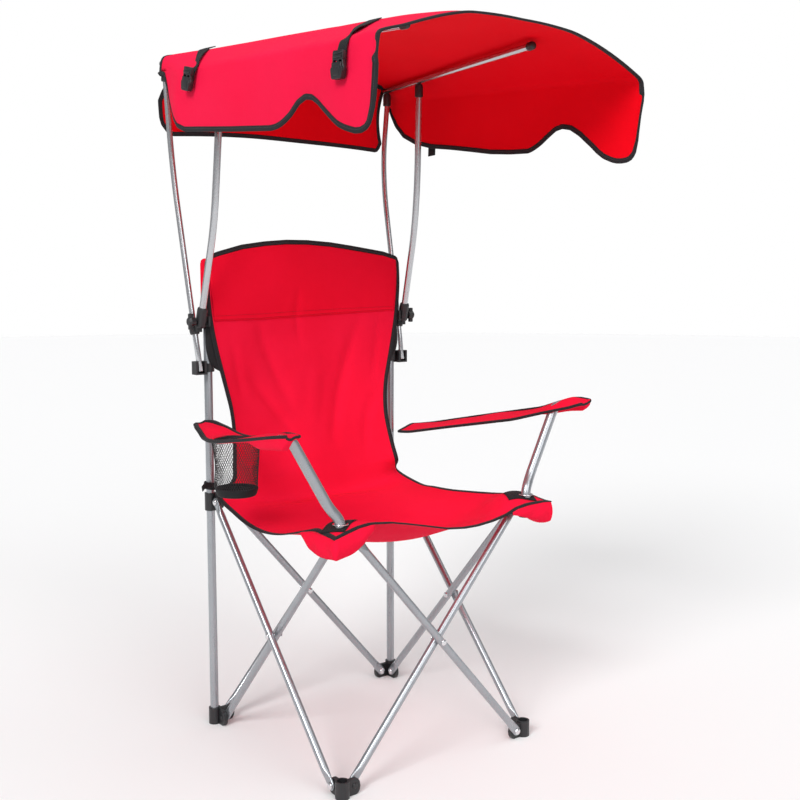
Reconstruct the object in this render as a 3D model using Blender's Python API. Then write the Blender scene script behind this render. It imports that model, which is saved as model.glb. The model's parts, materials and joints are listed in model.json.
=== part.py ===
"""Folding camp chair with a canopy: every piece at real size, metres, +Z up, chair facing -Y, sitter's right at -X.

Four crossed pairs of equal braces join four feet to two sliders on the rear posts and two front brackets.
The canopy stands on two trusses, each hinged on a clamp near the top of a rear post.
"""

import math

import bmesh
import bpy
import numpy as np
from mathutils import Matrix, Vector

for old in list(bpy.data.objects):
    bpy.data.objects.remove(old, do_unlink=True)

# ---------------------------------------------------------------- driving dimensions
Y0 = 0.0611  # the frame's centre line lies this far behind the origin, which is under the middle of the whole chair
SINK = 0.008  # heights below are counted from a plane this far under the floor
MIDDLE = Vector((0, Y0, -SINK))

SPAN = 0.376  # pivot to pivot, the same in width and depth, so that all four crosses fold alike
SLOPE = math.radians(48.6)  # angle of a brace above the floor when the chair stands open
RISE = SPAN * math.tan(SLOPE)
BRACE = SPAN / math.cos(SLOPE)
Z_FOOT = 0.024  # height of the foot pivots
Z_TOP = Z_FOOT + RISE  # height of the slider and bracket pivots
PIVOT_X = SPAN / 2
PIVOT_YR = 0.180  # rear pivots of the side crosses
PIVOT_YF = PIVOT_YR - SPAN  # front pivots of the side crosses

POST_X, POST_Y = 0.2185, 0.2015
POST_R, POST_TOP = 0.008, 0.905
FRONT_X, FRONT_Y = 0.2115, -0.2175  # centre line of the front corner blocks
SIDE_X = 0.2115  # middle plane of the side crosses
OFFSET = 0.0073  # each brace of a cross lies this far off the middle plane
BRACE_R = 0.007
END_T, END_W = 0.00275, 0.0085  # half thickness and half width of a flattened end
PIN_R, HOLE_R = 0.003, 0.0034
FLANGE_T = 0.004  # half thickness of a block's flange
GAP = 0.0003

POLE_R = 0.006
ARM_R = 0.009
HINGE_Y, HINGE_Z = 0.186, 0.795  # axis of the canopy hinges
CLIP_Z = 0.707

SHELL = 0.0030  # thickness of the fabric solids

# ---------------------------------------------------------------- materials


def material(name, colour, rough, metal=0.0):
    m = bpy.data.materials.new(name)
    m.use_nodes = True
    b = m.node_tree.nodes["Principled BSDF"]
    b.inputs["Base Color"].default_value = (*colour, 1.0)
    b.inputs["Roughness"].default_value = rough
    b.inputs["Metallic"].default_value = metal
    m.diffuse_color = (*colour, 1.0)
    return m


GREY = material("grey_painted_tube", (0.42, 0.44, 0.46), 0.38, 0.6)
STEEL = material("bright_pole", (0.62, 0.64, 0.66), 0.25, 0.9)
BLACK = material("black_plastic", (0.012, 0.012, 0.013), 0.42)
RIVET = material("rivet_steel", (0.75, 0.75, 0.76), 0.25, 1.0)
RED = material("red_fabric", (0.80, 0.012, 0.035), 0.75)
MESH = material("black_mesh", (0.02, 0.02, 0.022), 0.8)
WEB = material("black_webbing", (0.015, 0.015, 0.016), 0.8)

# ---------------------------------------------------------------- building helpers
BODY = {}


def world_of(name):
    return Vector(list(BODY[name]["world"]))


def body_at(name, at, parent=None):
    e = bpy.data.objects.new("body_" + name, None)
    e.empty_display_size = 0.03
    bpy.context.scene.collection.objects.link(e)
    here = Vector(at) + MIDDLE
    e["world"] = list(here)
    if parent:
        e.parent = BODY[parent]
        e.location = here - world_of(parent)
    else:
        e.location = here
    BODY[name] = e
    return e


def put(name, bm, mat, on, turn=None, smooth=40):
    """A named piece on a body. bm is in frame coordinates; the piece's origin is its body's joint axis."""
    bmesh.ops.recalc_face_normals(bm, faces=bm.faces[:])
    me = bpy.data.meshes.new(name)
    bm.to_mesh(me)
    bm.free()
    origin = world_of(on)
    me.transform(Matrix.Translation(MIDDLE - origin))
    rot = Matrix.Identity(4) if turn is None else turn.to_4x4()
    me.transform(rot.inverted())
    me.materials.append(mat)
    if smooth:
        me.shade_smooth()
        me.set_sharp_from_angle(angle=math.radians(smooth))
    ob = bpy.data.objects.new(name, me)
    bpy.context.scene.collection.objects.link(ob)
    ob.parent = BODY[on]
    ob.matrix_local = rot
    return ob


def as_object(bm):
    me = bpy.data.meshes.new("scratch")
    bm.to_mesh(me)
    ob = bpy.data.objects.new("scratch", me)
    bpy.context.scene.collection.objects.link(ob)
    return ob


def combine(bm, other, how):
    """Boolean of two closed shapes; both are used up."""
    for b in (bm, other):
        bmesh.ops.recalc_face_normals(b, faces=b.faces[:])
    a, b = as_object(bm), as_object(other)
    m = a.modifiers.new("cut", "BOOLEAN")
    m.operation, m.object, m.solver = how, b, "EXACT"
    deps = bpy.context.evaluated_depsgraph_get()
    deps.update()
    me = bpy.data.meshes.new_from_object(a.evaluated_get(deps), depsgraph=deps)
    out = bmesh.new()
    out.from_mesh(me)
    bmesh.ops.remove_doubles(out, verts=out.verts[:], dist=1e-6)
    bmesh.ops.dissolve_degenerate(out, dist=1e-6, edges=out.edges[:])
    for o in (a, b):
        bpy.data.objects.remove(o, do_unlink=True)
    bpy.data.meshes.remove(me)
    bm.free()
    other.free()
    return out


def union(*parts):
    out = parts[0]
    for p in parts[1:]:
        out = combine(out, p, "UNION")
    return out


def minus(bm, *cutters):
    for c in cutters:
        bm = combine(bm, c, "DIFFERENCE")
    return bm


def skin(rings, closed_ends=True):
    """Closed tube through rings of points, each with the same number of points."""
    bm = bmesh.new()
    rows = [[bm.verts.new(p) for p in ring] for ring in rings]
    n = len(rows[0])
    for a, b in zip(rows, rows[1:]):
        for i in range(n):
            bm.faces.new((a[i], a[(i + 1) % n], b[(i + 1) % n], b[i]))
    if closed_ends:
        bm.faces.new(rows[0][::-1])
        bm.faces.new(rows[-1])
    return bm


def frame_at(direction):
    d = Vector(direction).normalized()
    side = Vector((0, 0, 1)) if abs(d.z) < 0.9 else Vector((1, 0, 0))
    u = d.cross(side).normalized()
    return u, d.cross(u).normalized()


def cylinder(a, b, r, n=16, r2=None):
    a, b = Vector(a), Vector(b)
    u, v = frame_at(b - a)
    r2 = r if r2 is None else r2
    rings = []
    for c, rad in ((a, r), (b, r2)):
        rings.append(
            [
                c + rad * (math.cos(t) * u + math.sin(t) * v)
                for t in (2 * math.pi * i / n for i in range(n))
            ]
        )
    return skin(rings)


def turned(a, b, profile, n=16):
    """Turned solid along a to b; profile is (distance along, radius)."""
    a, b = Vector(a), Vector(b)
    d = (b - a).normalized()
    u, v = frame_at(d)
    return skin(
        [
            [
                a + s * d + r * (math.cos(t) * u + math.sin(t) * v)
                for t in (2 * math.pi * i / n for i in range(n))
            ]
            for s, r in profile
        ]
    )


def bent(points, steps=5, turn=0.03):
    """Points along straight runs joined by round bends that start `turn` before each corner."""
    pts = [Vector(p) for p in points]
    out = [pts[0]]
    for a, c, b in zip(pts, pts[1:], pts[2:]):
        t = min(turn, (c - a).length * 0.45, (b - c).length * 0.45)
        s, e = c + (a - c).normalized() * t, c + (b - c).normalized() * t
        for k in range(steps + 1):
            f = k / steps
            out.append(s * (1 - f) ** 2 + c * 2 * f * (1 - f) + e * f * f)
    out.append(pts[-1])
    return out


def rod(points, r, n=14):
    """Round solid rod along points, its ends rounded off slightly."""
    pts = [Vector(p) for p in points]
    dirs = []
    for i in range(len(pts)):
        a, b = pts[max(i - 1, 0)], pts[min(i + 1, len(pts) - 1)]
        dirs.append((b - a).normalized())
    u, _ = frame_at(dirs[0])
    rings = []
    for i, (p, d) in enumerate(zip(pts, dirs)):
        u = (u - d * u.dot(d)).normalized()
        v = d.cross(u)
        rings.append((p, d, u.copy(), v.copy()))
    out = []

    def ring(p, u, v, rad):
        return [
            p + rad * (math.cos(t) * u + math.sin(t) * v)
            for t in (2 * math.pi * k / n for k in range(n))
        ]

    p, d, u, v = rings[0]
    out.append(ring(p, u, v, r * 0.8))
    out.append(ring(p + d * r * 0.2, u, v, r))
    for p, d, u, v in rings[1:-1]:
        out.append(ring(p, u, v, r))
    p, d, u, v = rings[-1]
    out.append(ring(p - d * r * 0.2, u, v, r))
    out.append(ring(p, u, v, r * 0.8))
    return skin(out)


def block(lo, hi, bevel=0.0):
    bm = bmesh.new()
    bmesh.ops.create_cube(bm, size=1.0)
    lo, hi = Vector(lo), Vector(hi)
    size, mid = hi - lo, (hi + lo) / 2
    bmesh.ops.scale(bm, vec=size, verts=bm.verts[:])
    bmesh.ops.translate(bm, vec=mid, verts=bm.verts[:])
    if bevel:
        bmesh.ops.bevel(
            bm, geom=bm.edges[:], offset=bevel, segments=2, profile=0.5, affect="EDGES"
        )
    return bm


def plate(outline, to_point, lo, hi):
    """Flat plate: outline in two numbers, to_point(u, v, w) gives the point, from w = lo to w = hi."""
    return skin([[Vector(to_point(u, v, w)) for u, v in outline] for w in (lo, hi)])


# ---------------------------------------------------------------- braces
def brace():
    """A round tube along +X from pivot to pivot, both ends pressed flat and round, with holes for three rivets along Y."""
    n = 12
    stations = []
    for k in range(1, 4):  # the rounded end
        a = math.pi / 2 * k / 3
        stations.append((-END_W * math.cos(a), END_W * math.sin(a), END_T))
    stations += [
        (0.010, END_W, END_T),
        (0.020, 0.0080, 0.0040),
        (0.032, BRACE_R, BRACE_R),
        (BRACE / 2 - 0.02, BRACE_R, BRACE_R),
    ]
    full = stations + [(BRACE - s, w, t) for s, w, t in reversed(stations)]
    rings = []
    for s, w, t in full:
        rings.append(
            [
                Vector((s, t * math.sin(a), w * math.cos(a)))
                for a in (2 * math.pi * i / n for i in range(n))
            ]
        )
    bm = skin(rings)
    for s in (0.0, BRACE / 2, BRACE):
        bm = minus(bm, cylinder((s, -0.02, 0), (s, 0.02, 0), HOLE_R, 10))
    return bm


BRACE_MESH = bpy.data.meshes.new("brace")
_b = brace()
bmesh.ops.recalc_face_normals(_b, faces=_b.faces[:])
_b.to_mesh(BRACE_MESH)
_b.free()


def put_brace(name, foot, top, pin_axis, on, start):
    """Brace from its foot pivot to its top pivot. start is the distance along it of its own joint."""
    foot, top, y = Vector(foot), Vector(top), Vector(pin_axis)
    x = (top - foot).normalized()
    z = x.cross(y).normalized()
    turn = Matrix((x, y, z)).transposed()
    bm = bmesh.new()
    bm.from_mesh(BRACE_MESH)
    bmesh.ops.transform(
        bm, matrix=Matrix.Translation(foot) @ turn.to_4x4(), verts=bm.verts[:]
    )
    return put(name, bm, GREY, on, turn)


# ---------------------------------------------------------------- corner blocks
def flange_outline(length, low, high, nose=0.0085):
    """Side view of a flange: from the block's middle (0) to its rounded nose."""
    pts = [(0.0, low), (length - nose, low)]
    mid, half = (low + high) / 2, (high - low) / 2
    for k in range(1, 6):
        a = -math.pi / 2 + math.pi * k / 6
        pts.append((length - nose + nose * math.cos(a), mid + half * math.sin(a)))
    pts += [(length - nose, high), (0.0, high)]
    return pts


def pin(at, axis, side):
    """Rivet through a flange at `at` with its long end on the brace's side."""
    at, axis = Vector(at), Vector(axis) * side
    a = at - axis * (FLANGE_T + 0.0016)
    reach = FLANGE_T + 0.0016
    far = OFFSET + END_T + 0.0004
    return turned(
        a,
        a + axis,
        [
            (0.0, 0.0035),
            (0.0010, 0.0052),
            (0.0020, 0.0052),
            (0.0020, PIN_R),
            (reach + far, PIN_R),
            (reach + far, 0.0056),
            (reach + far + 0.0020, 0.0036),
        ],
        10,
    )


def corner(cx, cy, s, low, high, z, px, py, side_w, side_d, column_r, socket, flange_low):
    """Moulded corner block around a vertical column at (cx, cy) with one flange along the width and one along the depth.

    s is -1 for the left and +1 for the right. side_w and side_d say on which side of each flange its brace lies.
    socket is (radius, bottom height, top height) of the hole along the column.
    """
    inward = -s
    toward = -1 if cy > 0 else 1
    top = z + 0.0122
    wl = abs(px - cx) + 0.0115
    dl = abs(py - cy) + 0.0115
    column = cylinder((cx, cy, low), (cx, cy, high), column_r, 16)
    width = plate(
        flange_outline(wl, flange_low, top),
        lambda u, v, w: (cx + inward * u, cy + w, v),
        -FLANGE_T,
        FLANGE_T,
    )
    plane = s * SIDE_X
    depth = plate(
        flange_outline(dl, flange_low, top),
        lambda u, v, w: (plane + w, cy + toward * u, v),
        -FLANGE_T,
        FLANGE_T,
    )
    bm = union(column, width, depth)
    r, a, b = socket
    bm = minus(bm, cylinder((cx, cy, a), (cx, cy, b), r, 16))
    outer_y = 1 if cy > 0 else -1
    bm = union(
        bm,
        pin((px, cy, z), (0, 1, 0), side_w * outer_y),
        pin((plane, py, z), (1, 0, 0), side_d * s),
    )
    return bm


OUT, IN = 1, -1
LEFT, RIGHT = -1, 1
SIDES = {"left": LEFT, "right": RIGHT}

# ---------------------------------------------------------------- bodies, each at its joint
body_at("rear_left_corner", (-POST_X, POST_Y, 0))
body_at("rear_brace_outer", (-PIVOT_X, POST_Y, Z_FOOT), "rear_left_corner")
body_at("rear_brace_inner", (0, POST_Y, (Z_FOOT + Z_TOP) / 2), "rear_brace_outer")
body_at("rear_right_corner", (PIVOT_X, POST_Y, Z_FOOT), "rear_brace_inner")
body_at("slider_left", (-PIVOT_X, POST_Y, Z_TOP), "rear_brace_inner")
body_at("slider_right", (PIVOT_X, POST_Y, Z_TOP), "rear_brace_outer")
MID_Y, MID_Z = (PIVOT_YR + PIVOT_YF) / 2, (Z_FOOT + Z_TOP) / 2
for side, s in SIDES.items():
    x = s * SIDE_X
    body_at(f"{side}_brace_inner", (x, PIVOT_YR, Z_FOOT), f"rear_{side}_corner")
    body_at(f"{side}_brace_outer", (x, MID_Y, MID_Z), f"{side}_brace_inner")
    body_at(f"front_{side}_foot", (x, PIVOT_YF, Z_FOOT), f"{side}_brace_outer")
    body_at(f"front_{side}_arm", (x, PIVOT_YF, Z_TOP), f"{side}_brace_inner")
body_at("front_brace_inner", (-PIVOT_X, FRONT_Y, Z_FOOT), "front_left_foot")
body_at("front_brace_outer", (0, FRONT_Y, MID_Z), "front_brace_inner")
for side, s in SIDES.items():
    body_at(
        f"canopy_truss_{side}", (s * 0.241, HINGE_Y, HINGE_Z), f"rear_{side}_corner"
    )
    body_at(f"knob_{side}", (s * 0.258, HINGE_Y, HINGE_Z), f"rear_{side}_corner")

# ---------------------------------------------------------------- braces of the four crosses
YAX, XAX = (0, 1, 0), (1, 0, 0)
yo, yi = POST_Y + OFFSET, POST_Y - OFFSET
put_brace("rear_brace_outer", (-PIVOT_X, yo, Z_FOOT), (PIVOT_X, yo, Z_TOP), YAX, "rear_brace_outer", 0)
put_brace("rear_brace_inner", (PIVOT_X, yi, Z_FOOT), (-PIVOT_X, yi, Z_TOP), YAX, "rear_brace_inner", 1)
fo, fi = FRONT_Y - OFFSET, FRONT_Y + OFFSET
put_brace("front_brace_inner", (-PIVOT_X, fi, Z_FOOT), (PIVOT_X, fi, Z_TOP), YAX, "front_brace_inner", 0)
put_brace("front_brace_outer", (PIVOT_X, fo, Z_FOOT), (-PIVOT_X, fo, Z_TOP), YAX, "front_brace_outer", 1)
for side, s in SIDES.items():
    xi, xo = s * (SIDE_X - OFFSET), s * (SIDE_X + OFFSET)
    put_brace(f"{side}_brace_inner", (xi, PIVOT_YR, Z_FOOT), (xi, PIVOT_YF, Z_TOP), XAX, f"{side}_brace_inner", 0)
    put_brace(f"{side}_brace_outer", (xo, PIVOT_YF, Z_FOOT), (xo, PIVOT_YR, Z_TOP), XAX, f"{side}_brace_outer", 1)


def middle_rivet(at, axis):
    at, axis = Vector(at), Vector(axis)
    half = OFFSET + BRACE_R + 0.0004
    a = at - axis * (half + 0.0022)
    e = 2 * half + 0.0022
    return turned(
        a,
        a + axis,
        [
            (0.0, 0.0035),
            (0.0022, 0.0055),
            (0.0022, PIN_R),
            (e, PIN_R),
            (e, 0.0055),
            (e + 0.0022, 0.0035),
        ],
        10,
    )


put("middle_rivet_rear", middle_rivet((0, POST_Y, MID_Z), YAX), RIVET, "rear_brace_outer")
put("middle_rivet_front", middle_rivet((0, FRONT_Y, MID_Z), YAX), RIVET, "front_brace_inner")
for side, s in SIDES.items():
    put(
        f"middle_rivet_{side}",
        middle_rivet((s * SIDE_X, MID_Y, MID_Z), XAX),
        RIVET,
        f"{side}_brace_inner",
    )

# ---------------------------------------------------------------- feet, sliders and front brackets
for side, s in SIDES.items():
    left = side == "left"
    rear_socket = (POST_R + GAP, 0.0122, 0.08)
    put(
        f"foot_rear_{side}",
        corner(s * POST_X, POST_Y, s, SINK, 0.040, Z_FOOT, s * PIVOT_X, PIVOT_YR, OUT if left else IN, IN, 0.0112, rear_socket, SINK),
        BLACK,
        f"rear_{side}_corner",
    )
    put(
        f"foot_front_{side}",
        corner(s * FRONT_X, FRONT_Y, s, SINK, 0.038, Z_FOOT, s * PIVOT_X, PIVOT_YF, IN if left else OUT, OUT, 0.0125, (0.0090, 0.015, 0.08), SINK),
        BLACK,
        f"front_{side}_foot",
    )
    put(
        f"slider_{side}",
        corner(s * POST_X, POST_Y, s, Z_TOP - 0.018, Z_TOP + 0.016, Z_TOP, s * PIVOT_X, PIVOT_YR, IN if left else OUT, OUT, 0.0112, (POST_R + GAP, Z_TOP - 0.03, Z_TOP + 0.03), Z_TOP - 0.0122),
        BLACK,
        f"slider_{side}",
    )
    put(
        f"front_bracket_{side}",
        corner(s * FRONT_X, FRONT_Y, s, Z_TOP - 0.018, Z_TOP + 0.014, Z_TOP, s * PIVOT_X, PIVOT_YF, OUT if left else IN, IN, 0.0125, (ARM_R + GAP, Z_TOP - 0.013, Z_TOP + 0.05), Z_TOP - 0.0122),
        BLACK,
        f"front_{side}_arm",
    )

# ---------------------------------------------------------------- posts and arm tubes
for side, s in SIDES.items():
    put(
        f"rear_post_{side}",
        rod([(s * POST_X, POST_Y, 0.0125), (s * POST_X, POST_Y, 0.46), (s * POST_X, POST_Y, POST_TOP)], POST_R, 16),
        GREY,
        f"rear_{side}_corner",
    )
    arm = bent(
        [
            (s * FRONT_X, FRONT_Y, Z_TOP - 0.0126),
            (s * FRONT_X, FRONT_Y, 0.482),
            (s * 0.2300, -0.2090, 0.506),
            (s * 0.2985, -0.2043, 0.6240),
            (s * 0.3325, -0.2150, 0.6250),
        ],
        3,
        0.022,
    )
    put(f"arm_tube_{side}", rod(arm, ARM_R, 12), GREY, f"front_{side}_arm")


# ---------------------------------------------------------------- canopy hardware
def roof_height(x, y):
    """Height of the canopy's roof: it rests on the two rails, arches a little between them, falls outside them to the side edges and droops in front of their tips."""
    t = (y + 0.41) / 0.655
    side, rail, mid = 1.2180 + 0.0305 * t, 1.2795 + 0.0040 * t, 1.2865 + 0.0305 * t
    xr = rail_x(y)
    a = abs(x)
    droop = 0.014 * min(1.0, max(0.0, (-0.295 - y) / 0.12)) ** 2 * (1 - 0.4 * min(1.0, a / 0.28))
    if a <= xr:
        f = a / xr
        return mid + (rail - mid) * (f * f) - droop
    f = min((a - xr) / (CANOPY_X - xr), 1.0)
    return rail + (side - rail) * (0.55 * f + 0.45 * f * f) - droop


RAIL_FRONT = Vector((0.139, -0.285, 0))
RAIL_REAR = Vector((0.2600, 0.262, 0))
CANOPY_X = 0.282
CANOPY_FRONT, CANOPY_REAR = -0.414, 0.252


def rail_x(y):
    f = (y - RAIL_FRONT.y) / (RAIL_REAR.y - RAIL_FRONT.y)
    return RAIL_FRONT.x + (RAIL_REAR.x - RAIL_FRONT.x) * f


def rail_z(y):
    return roof_height(rail_x(y), y) - SHELL / 2 - POLE_R - 0.0052


Y_C, Y_D = 0.118, 0.2655  # where the thick and the thin pole meet the rail

for side, s in SIDES.items():
    a = (s * rail_x(-0.285), -0.285, rail_z(-0.285))
    d = (s * rail_x(0.276), 0.276, rail_z(-0.285) + (rail_z(0.262) - rail_z(-0.285)) * 0.561 / 0.547)
    put(f"canopy_rail_{side}", rod([a, Vector(a).lerp(Vector(d), 0.5), d], POLE_R, 12), STEEL, f"canopy_truss_{side}")
    along = (Vector(a) - Vector(d)).normalized()
    tip = Vector(a) + along * GAP
    put(
        f"rail_end_cap_{side}",
        turned(tip, tip + along, [(0, 0.0074), (0.010, 0.0074), (0.0155, 0.0040)], 12),
        BLACK,
        f"canopy_truss_{side}",
    )

    def on_rail(y, s=s, a=Vector(a), d=Vector(d)):
        return a.lerp(d, (y - a.y) / (d.y - a.y))

    c, e = on_rail(Y_C), on_rail(Y_D)
    for what, p in (("front", c), ("rear", e)):
        put(
            f"rail_joint_{what}_{side}",
            turned(
                (p.x, p.y, p.z - POLE_R - GAP - 0.026),
                (p.x, p.y, p.z),
                [(0, 0.0080), (0.002, 0.0084), (0.021, 0.0084), (0.026, 0.0060)],
                12,
            ),
            BLACK,
            f"canopy_truss_{side}",
        )
    drop = POLE_R + GAP + 0.026 + 0.0012
    # the thick pole from the hinge up, and the thin pole from the clip up past it
    thick = bent(
        [
            (s * 0.2405, HINGE_Y - 0.0035, HINGE_Z + 0.0100),
            (s * 0.2350, 0.1400, 0.9720),
            (s * 0.2335, 0.1290, 1.0700),
            (c.x, c.y, c.z - drop),
        ],
        2,
        0.045,
    )
    put(f"canopy_pole_thick_{side}", rod(thick, POLE_R + 0.0005, 12), STEEL, f"canopy_truss_{side}")
    thin = bent(
        [
            (s * 0.2412, 0.1900, 0.7010),
            (s * 0.2450, 0.2115, 0.8100),
            (s * 0.2500, 0.2600, 1.0500),
            (s * 0.2530, 0.2680, 1.1300),
            (e.x, e.y, e.z - drop),
        ],
        2,
        0.045,
    )
    put(f"canopy_pole_thin_{side}", rod(thin, 0.0054, 10), STEEL, f"canopy_truss_{side}")

    # hub: sleeve on the lower end of the thick pole, joined to a collar around the thin pole
    axis = (Vector((s * 0.2350, 0.1400, 0.9720)) - Vector((s * 0.2405, HINGE_Y - 0.0035, HINGE_Z + 0.0100))).normalized()
    base = Vector((s * 0.2405, HINGE_Y - 0.0035, HINGE_Z + 0.0100))
    sleeve = turned(base - axis * 0.022, base + axis * 0.0155, [(0, 0.0080), (0.003, 0.0100), (0.0335, 0.0100), (0.0375, 0.0088)], 14)
    t_lo = Vector((s * 0.2436, 0.2036, 0.7700))
    t_hi = Vector((s * 0.24465, 0.2095, 0.8000))
    t_ax = (t_hi - t_lo).normalized()
    collar = turned(t_lo, t_hi, [(0, 0.0080), (0.004, 0.0096), (0.024, 0.0096), (0.030, 0.0080)], 14)
    web = block((min(s * 0.238, s * 0.248), 0.186, 0.775), (max(s * 0.238, s * 0.248), 0.204, 0.789))
    hub = union(sleeve, collar, web)
    hub = minus(
        hub,
        cylinder(base - axis * 0.0004, base + axis * 0.08, POLE_R + 0.0005 + GAP, 12),
        cylinder(t_lo - t_ax * 0.03, t_hi + t_ax * 0.03, 0.0054 + 0.0004, 10),
        cylinder((s * 0.20, HINGE_Y, HINGE_Z), (s * 0.28, HINGE_Y, HINGE_Z), HOLE_R, 10),
    )
    put(f"pole_hub_{side}", hub, BLACK, f"canopy_truss_{side}")

    # clamp on the post with the hinge bolt, and the knob on the bolt's end
    ring = cylinder((s * POST_X, POST_Y, HINGE_Z - 0.014), (s * POST_X, POST_Y, HINGE_Z + 0.014), 0.0107, 16)
    lug = block(
        (min(s * 0.2245, s * 0.2288), HINGE_Y - 0.009, HINGE_Z - 0.010),
        (max(s * 0.2245, s * 0.2288), POST_Y, HINGE_Z + 0.010),
        0.0015,
    )
    clamp = union(ring, lug)
    clamp = minus(clamp, cylinder((s * POST_X, POST_Y, 0.7), (s * POST_X, POST_Y, 0.9), POST_R + GAP, 16))
    clamp = union(clamp, cylinder((s * 0.2260, HINGE_Y, HINGE_Z), (s * 0.2610, HINGE_Y, HINGE_Z), PIN_R, 10))
    put(f"canopy_clamp_{side}", clamp, BLACK, f"rear_{side}_corner")
    knob = turned(
        (s * 0.2535, HINGE_Y, HINGE_Z),
        (s * 0.30, HINGE_Y, HINGE_Z),
        [(0, 0.0080), (0.010, 0.0100), (0.0135, 0.0070)],
        14,
    )
    wings = block((min(s * 0.2575, s * 0.2660), HINGE_Y - 0.0035, HINGE_Z - 0.0150), (max(s * 0.2575, s * 0.2660), HINGE_Y + 0.0035, HINGE_Z + 0.0150), 0.0015)
    knob = union(knob, wings)
    knob = minus(knob, cylinder((s * 0.24, HINGE_Y, HINGE_Z), (s * 0.2618, HINGE_Y, HINGE_Z), HOLE_R, 14))
    put(f"clamp_knob_{side}", knob, BLACK, f"knob_{side}")

    # clip on the post that holds the foot of the thin pole; its mouth opens forward
    ring = cylinder((s * POST_X, POST_Y, CLIP_Z - 0.008), (s * POST_X, POST_Y, CLIP_Z + 0.008), 0.0118, 16)
    back = block((min(s * 0.2280, s * 0.2520), 0.1995, CLIP_Z - 0.012), (max(s * 0.2280, s * 0.2520), 0.2035, CLIP_Z + 0.013))
    inner = block((min(s * 0.2300, s * 0.2343), 0.1855, CLIP_Z - 0.012), (max(s * 0.2300, s * 0.2343), 0.2000, CLIP_Z + 0.013))
    outer = block((min(s * 0.2483, s * 0.2520), 0.1855, CLIP_Z - 0.012), (max(s * 0.2483, s * 0.2520), 0.2000, CLIP_Z + 0.013))
    floor = block((min(s * 0.2300, s * 0.2520), 0.1855, CLIP_Z - 0.0120), (max(s * 0.2300, s * 0.2520), 0.2035, CLIP_Z - 0.0090))
    clip = union(ring, back, inner, outer, floor)
    clip = minus(clip, cylinder((s * POST_X, POST_Y, 0.6), (s * POST_X, POST_Y, 0.8), POST_R + GAP, 16))
    put(f"pole_clip_{side}", clip, BLACK, f"rear_{side}_corner")


# ---------------------------------------------------------------- fabric solids
def sheet(points, thickness, normal_hint=None):
    """Closed solid of even thickness around a grid of points (rows of equal length)."""
    rows, cols = len(points), len(points[0])
    p = np.array([[list(v) for v in row] for row in points], float)
    du = np.gradient(p, axis=0)
    dv = np.gradient(p, axis=1)
    nrm = np.cross(du, dv)
    nrm /= np.linalg.norm(nrm, axis=2, keepdims=True)
    bm = bmesh.new()
    a = [[bm.verts.new(p[i, j] + nrm[i, j] * thickness / 2) for j in range(cols)] for i in range(rows)]
    b = [[bm.verts.new(p[i, j] - nrm[i, j] * thickness / 2) for j in range(cols)] for i in range(rows)]
    for i in range(rows - 1):
        for j in range(cols - 1):
            bm.faces.new((a[i][j], a[i + 1][j], a[i + 1][j + 1], a[i][j + 1]))
            bm.faces.new((b[i][j], b[i][j + 1], b[i + 1][j + 1], b[i + 1][j]))
    for i in range(rows - 1):
        bm.faces.new((a[i][0], b[i][0], b[i + 1][0], a[i + 1][0]))
        bm.faces.new((a[i][-1], a[i + 1][-1], b[i + 1][-1], b[i][-1]))
    for j in range(cols - 1):
        bm.faces.new((a[0][j], a[0][j + 1], b[0][j + 1], b[0][j]))
        bm.faces.new((a[-1][j], b[-1][j], b[-1][j + 1], a[-1][j + 1]))
    return bm


def back_width(z):
    """Half width of the back sling at a height: widest at the posts' tops, drawn in at the waist, wider again at the seat."""
    z_at = [0.47, 0.51, 0.55, 0.585, 0.62, 0.66, 0.70, 0.745, 0.79, 0.83, 0.90, 0.95]
    w_at = [0.202, 0.196, 0.190, 0.185, 0.185, 0.193, 0.203, 0.214, 0.2215, 0.2225, 0.2260, 0.2260]
    return float(np.interp(z, z_at, w_at))


def back_depth(z):
    """How far behind the frame's centre the sling lies at a height, at its edges."""
    return float(np.interp(z, [0.47, 0.52, 0.58, 0.66, 0.76, 0.86, 0.95], [0.146, 0.154, 0.167, 0.179, 0.184, 0.185, 0.185]))


rows = []
for i in range(13):
    f = i / 12
    row = []
    for j in range(9):
        u = -1 + 2 * j / 8
        top = 0.912 + 0.030 * (1 - u * u)
        z = 0.474 + (top - 0.474) * f
        sag = 0.020 * (1 - u * u) * math.sin(math.pi * min(1, 0.15 + f))
        row.append((u * back_width(z), back_depth(z) + max(0.0, sag) * (1 if z < 0.9 else 0.4), z))
    rows.append(row)
put("back_fabric", sheet(rows, SHELL), RED, "rear_left_corner", smooth=0)


def seat_point(u, v):
    """u runs from side to side, v from the front edge (0) to the rear (1)."""
    y = -0.244 + 0.402 * v
    half = 0.226 + 0.012 * (1 - v) ** 3 - 0.016 * math.sin(math.pi * v) - 0.018 * v**4
    x = u * half
    edge = 0.4780 - 0.040 * math.sin(math.pi * v) ** 2 - 0.008 * v
    mid = 0.4460 - 0.050 * math.sin(math.pi * v**0.75) ** 2 + 0.012 * v**4
    k = (1 - u * u) ** 1.3
    return (x, y, edge + (mid - edge) * k)


rows = [[seat_point(-1 + 2 * j / 14, i / 12) for j in range(15)] for i in range(13)]
seat = sheet(rows, SHELL)
for s in (LEFT, RIGHT):
    seat = minus(seat, cylinder((s * FRONT_X, FRONT_Y + 0.001, 0.44), (s * FRONT_X, FRONT_Y + 0.001, 0.50), ARM_R + 0.004, 16))
put("seat_fabric", seat, RED, "rear_left_corner", smooth=0)

CUP_X, CUP_Y, CUP_R = 0.2620, 0.028, 0.043
CUP_TOP, CUP_LOW = 0.5900, 0.4920


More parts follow.
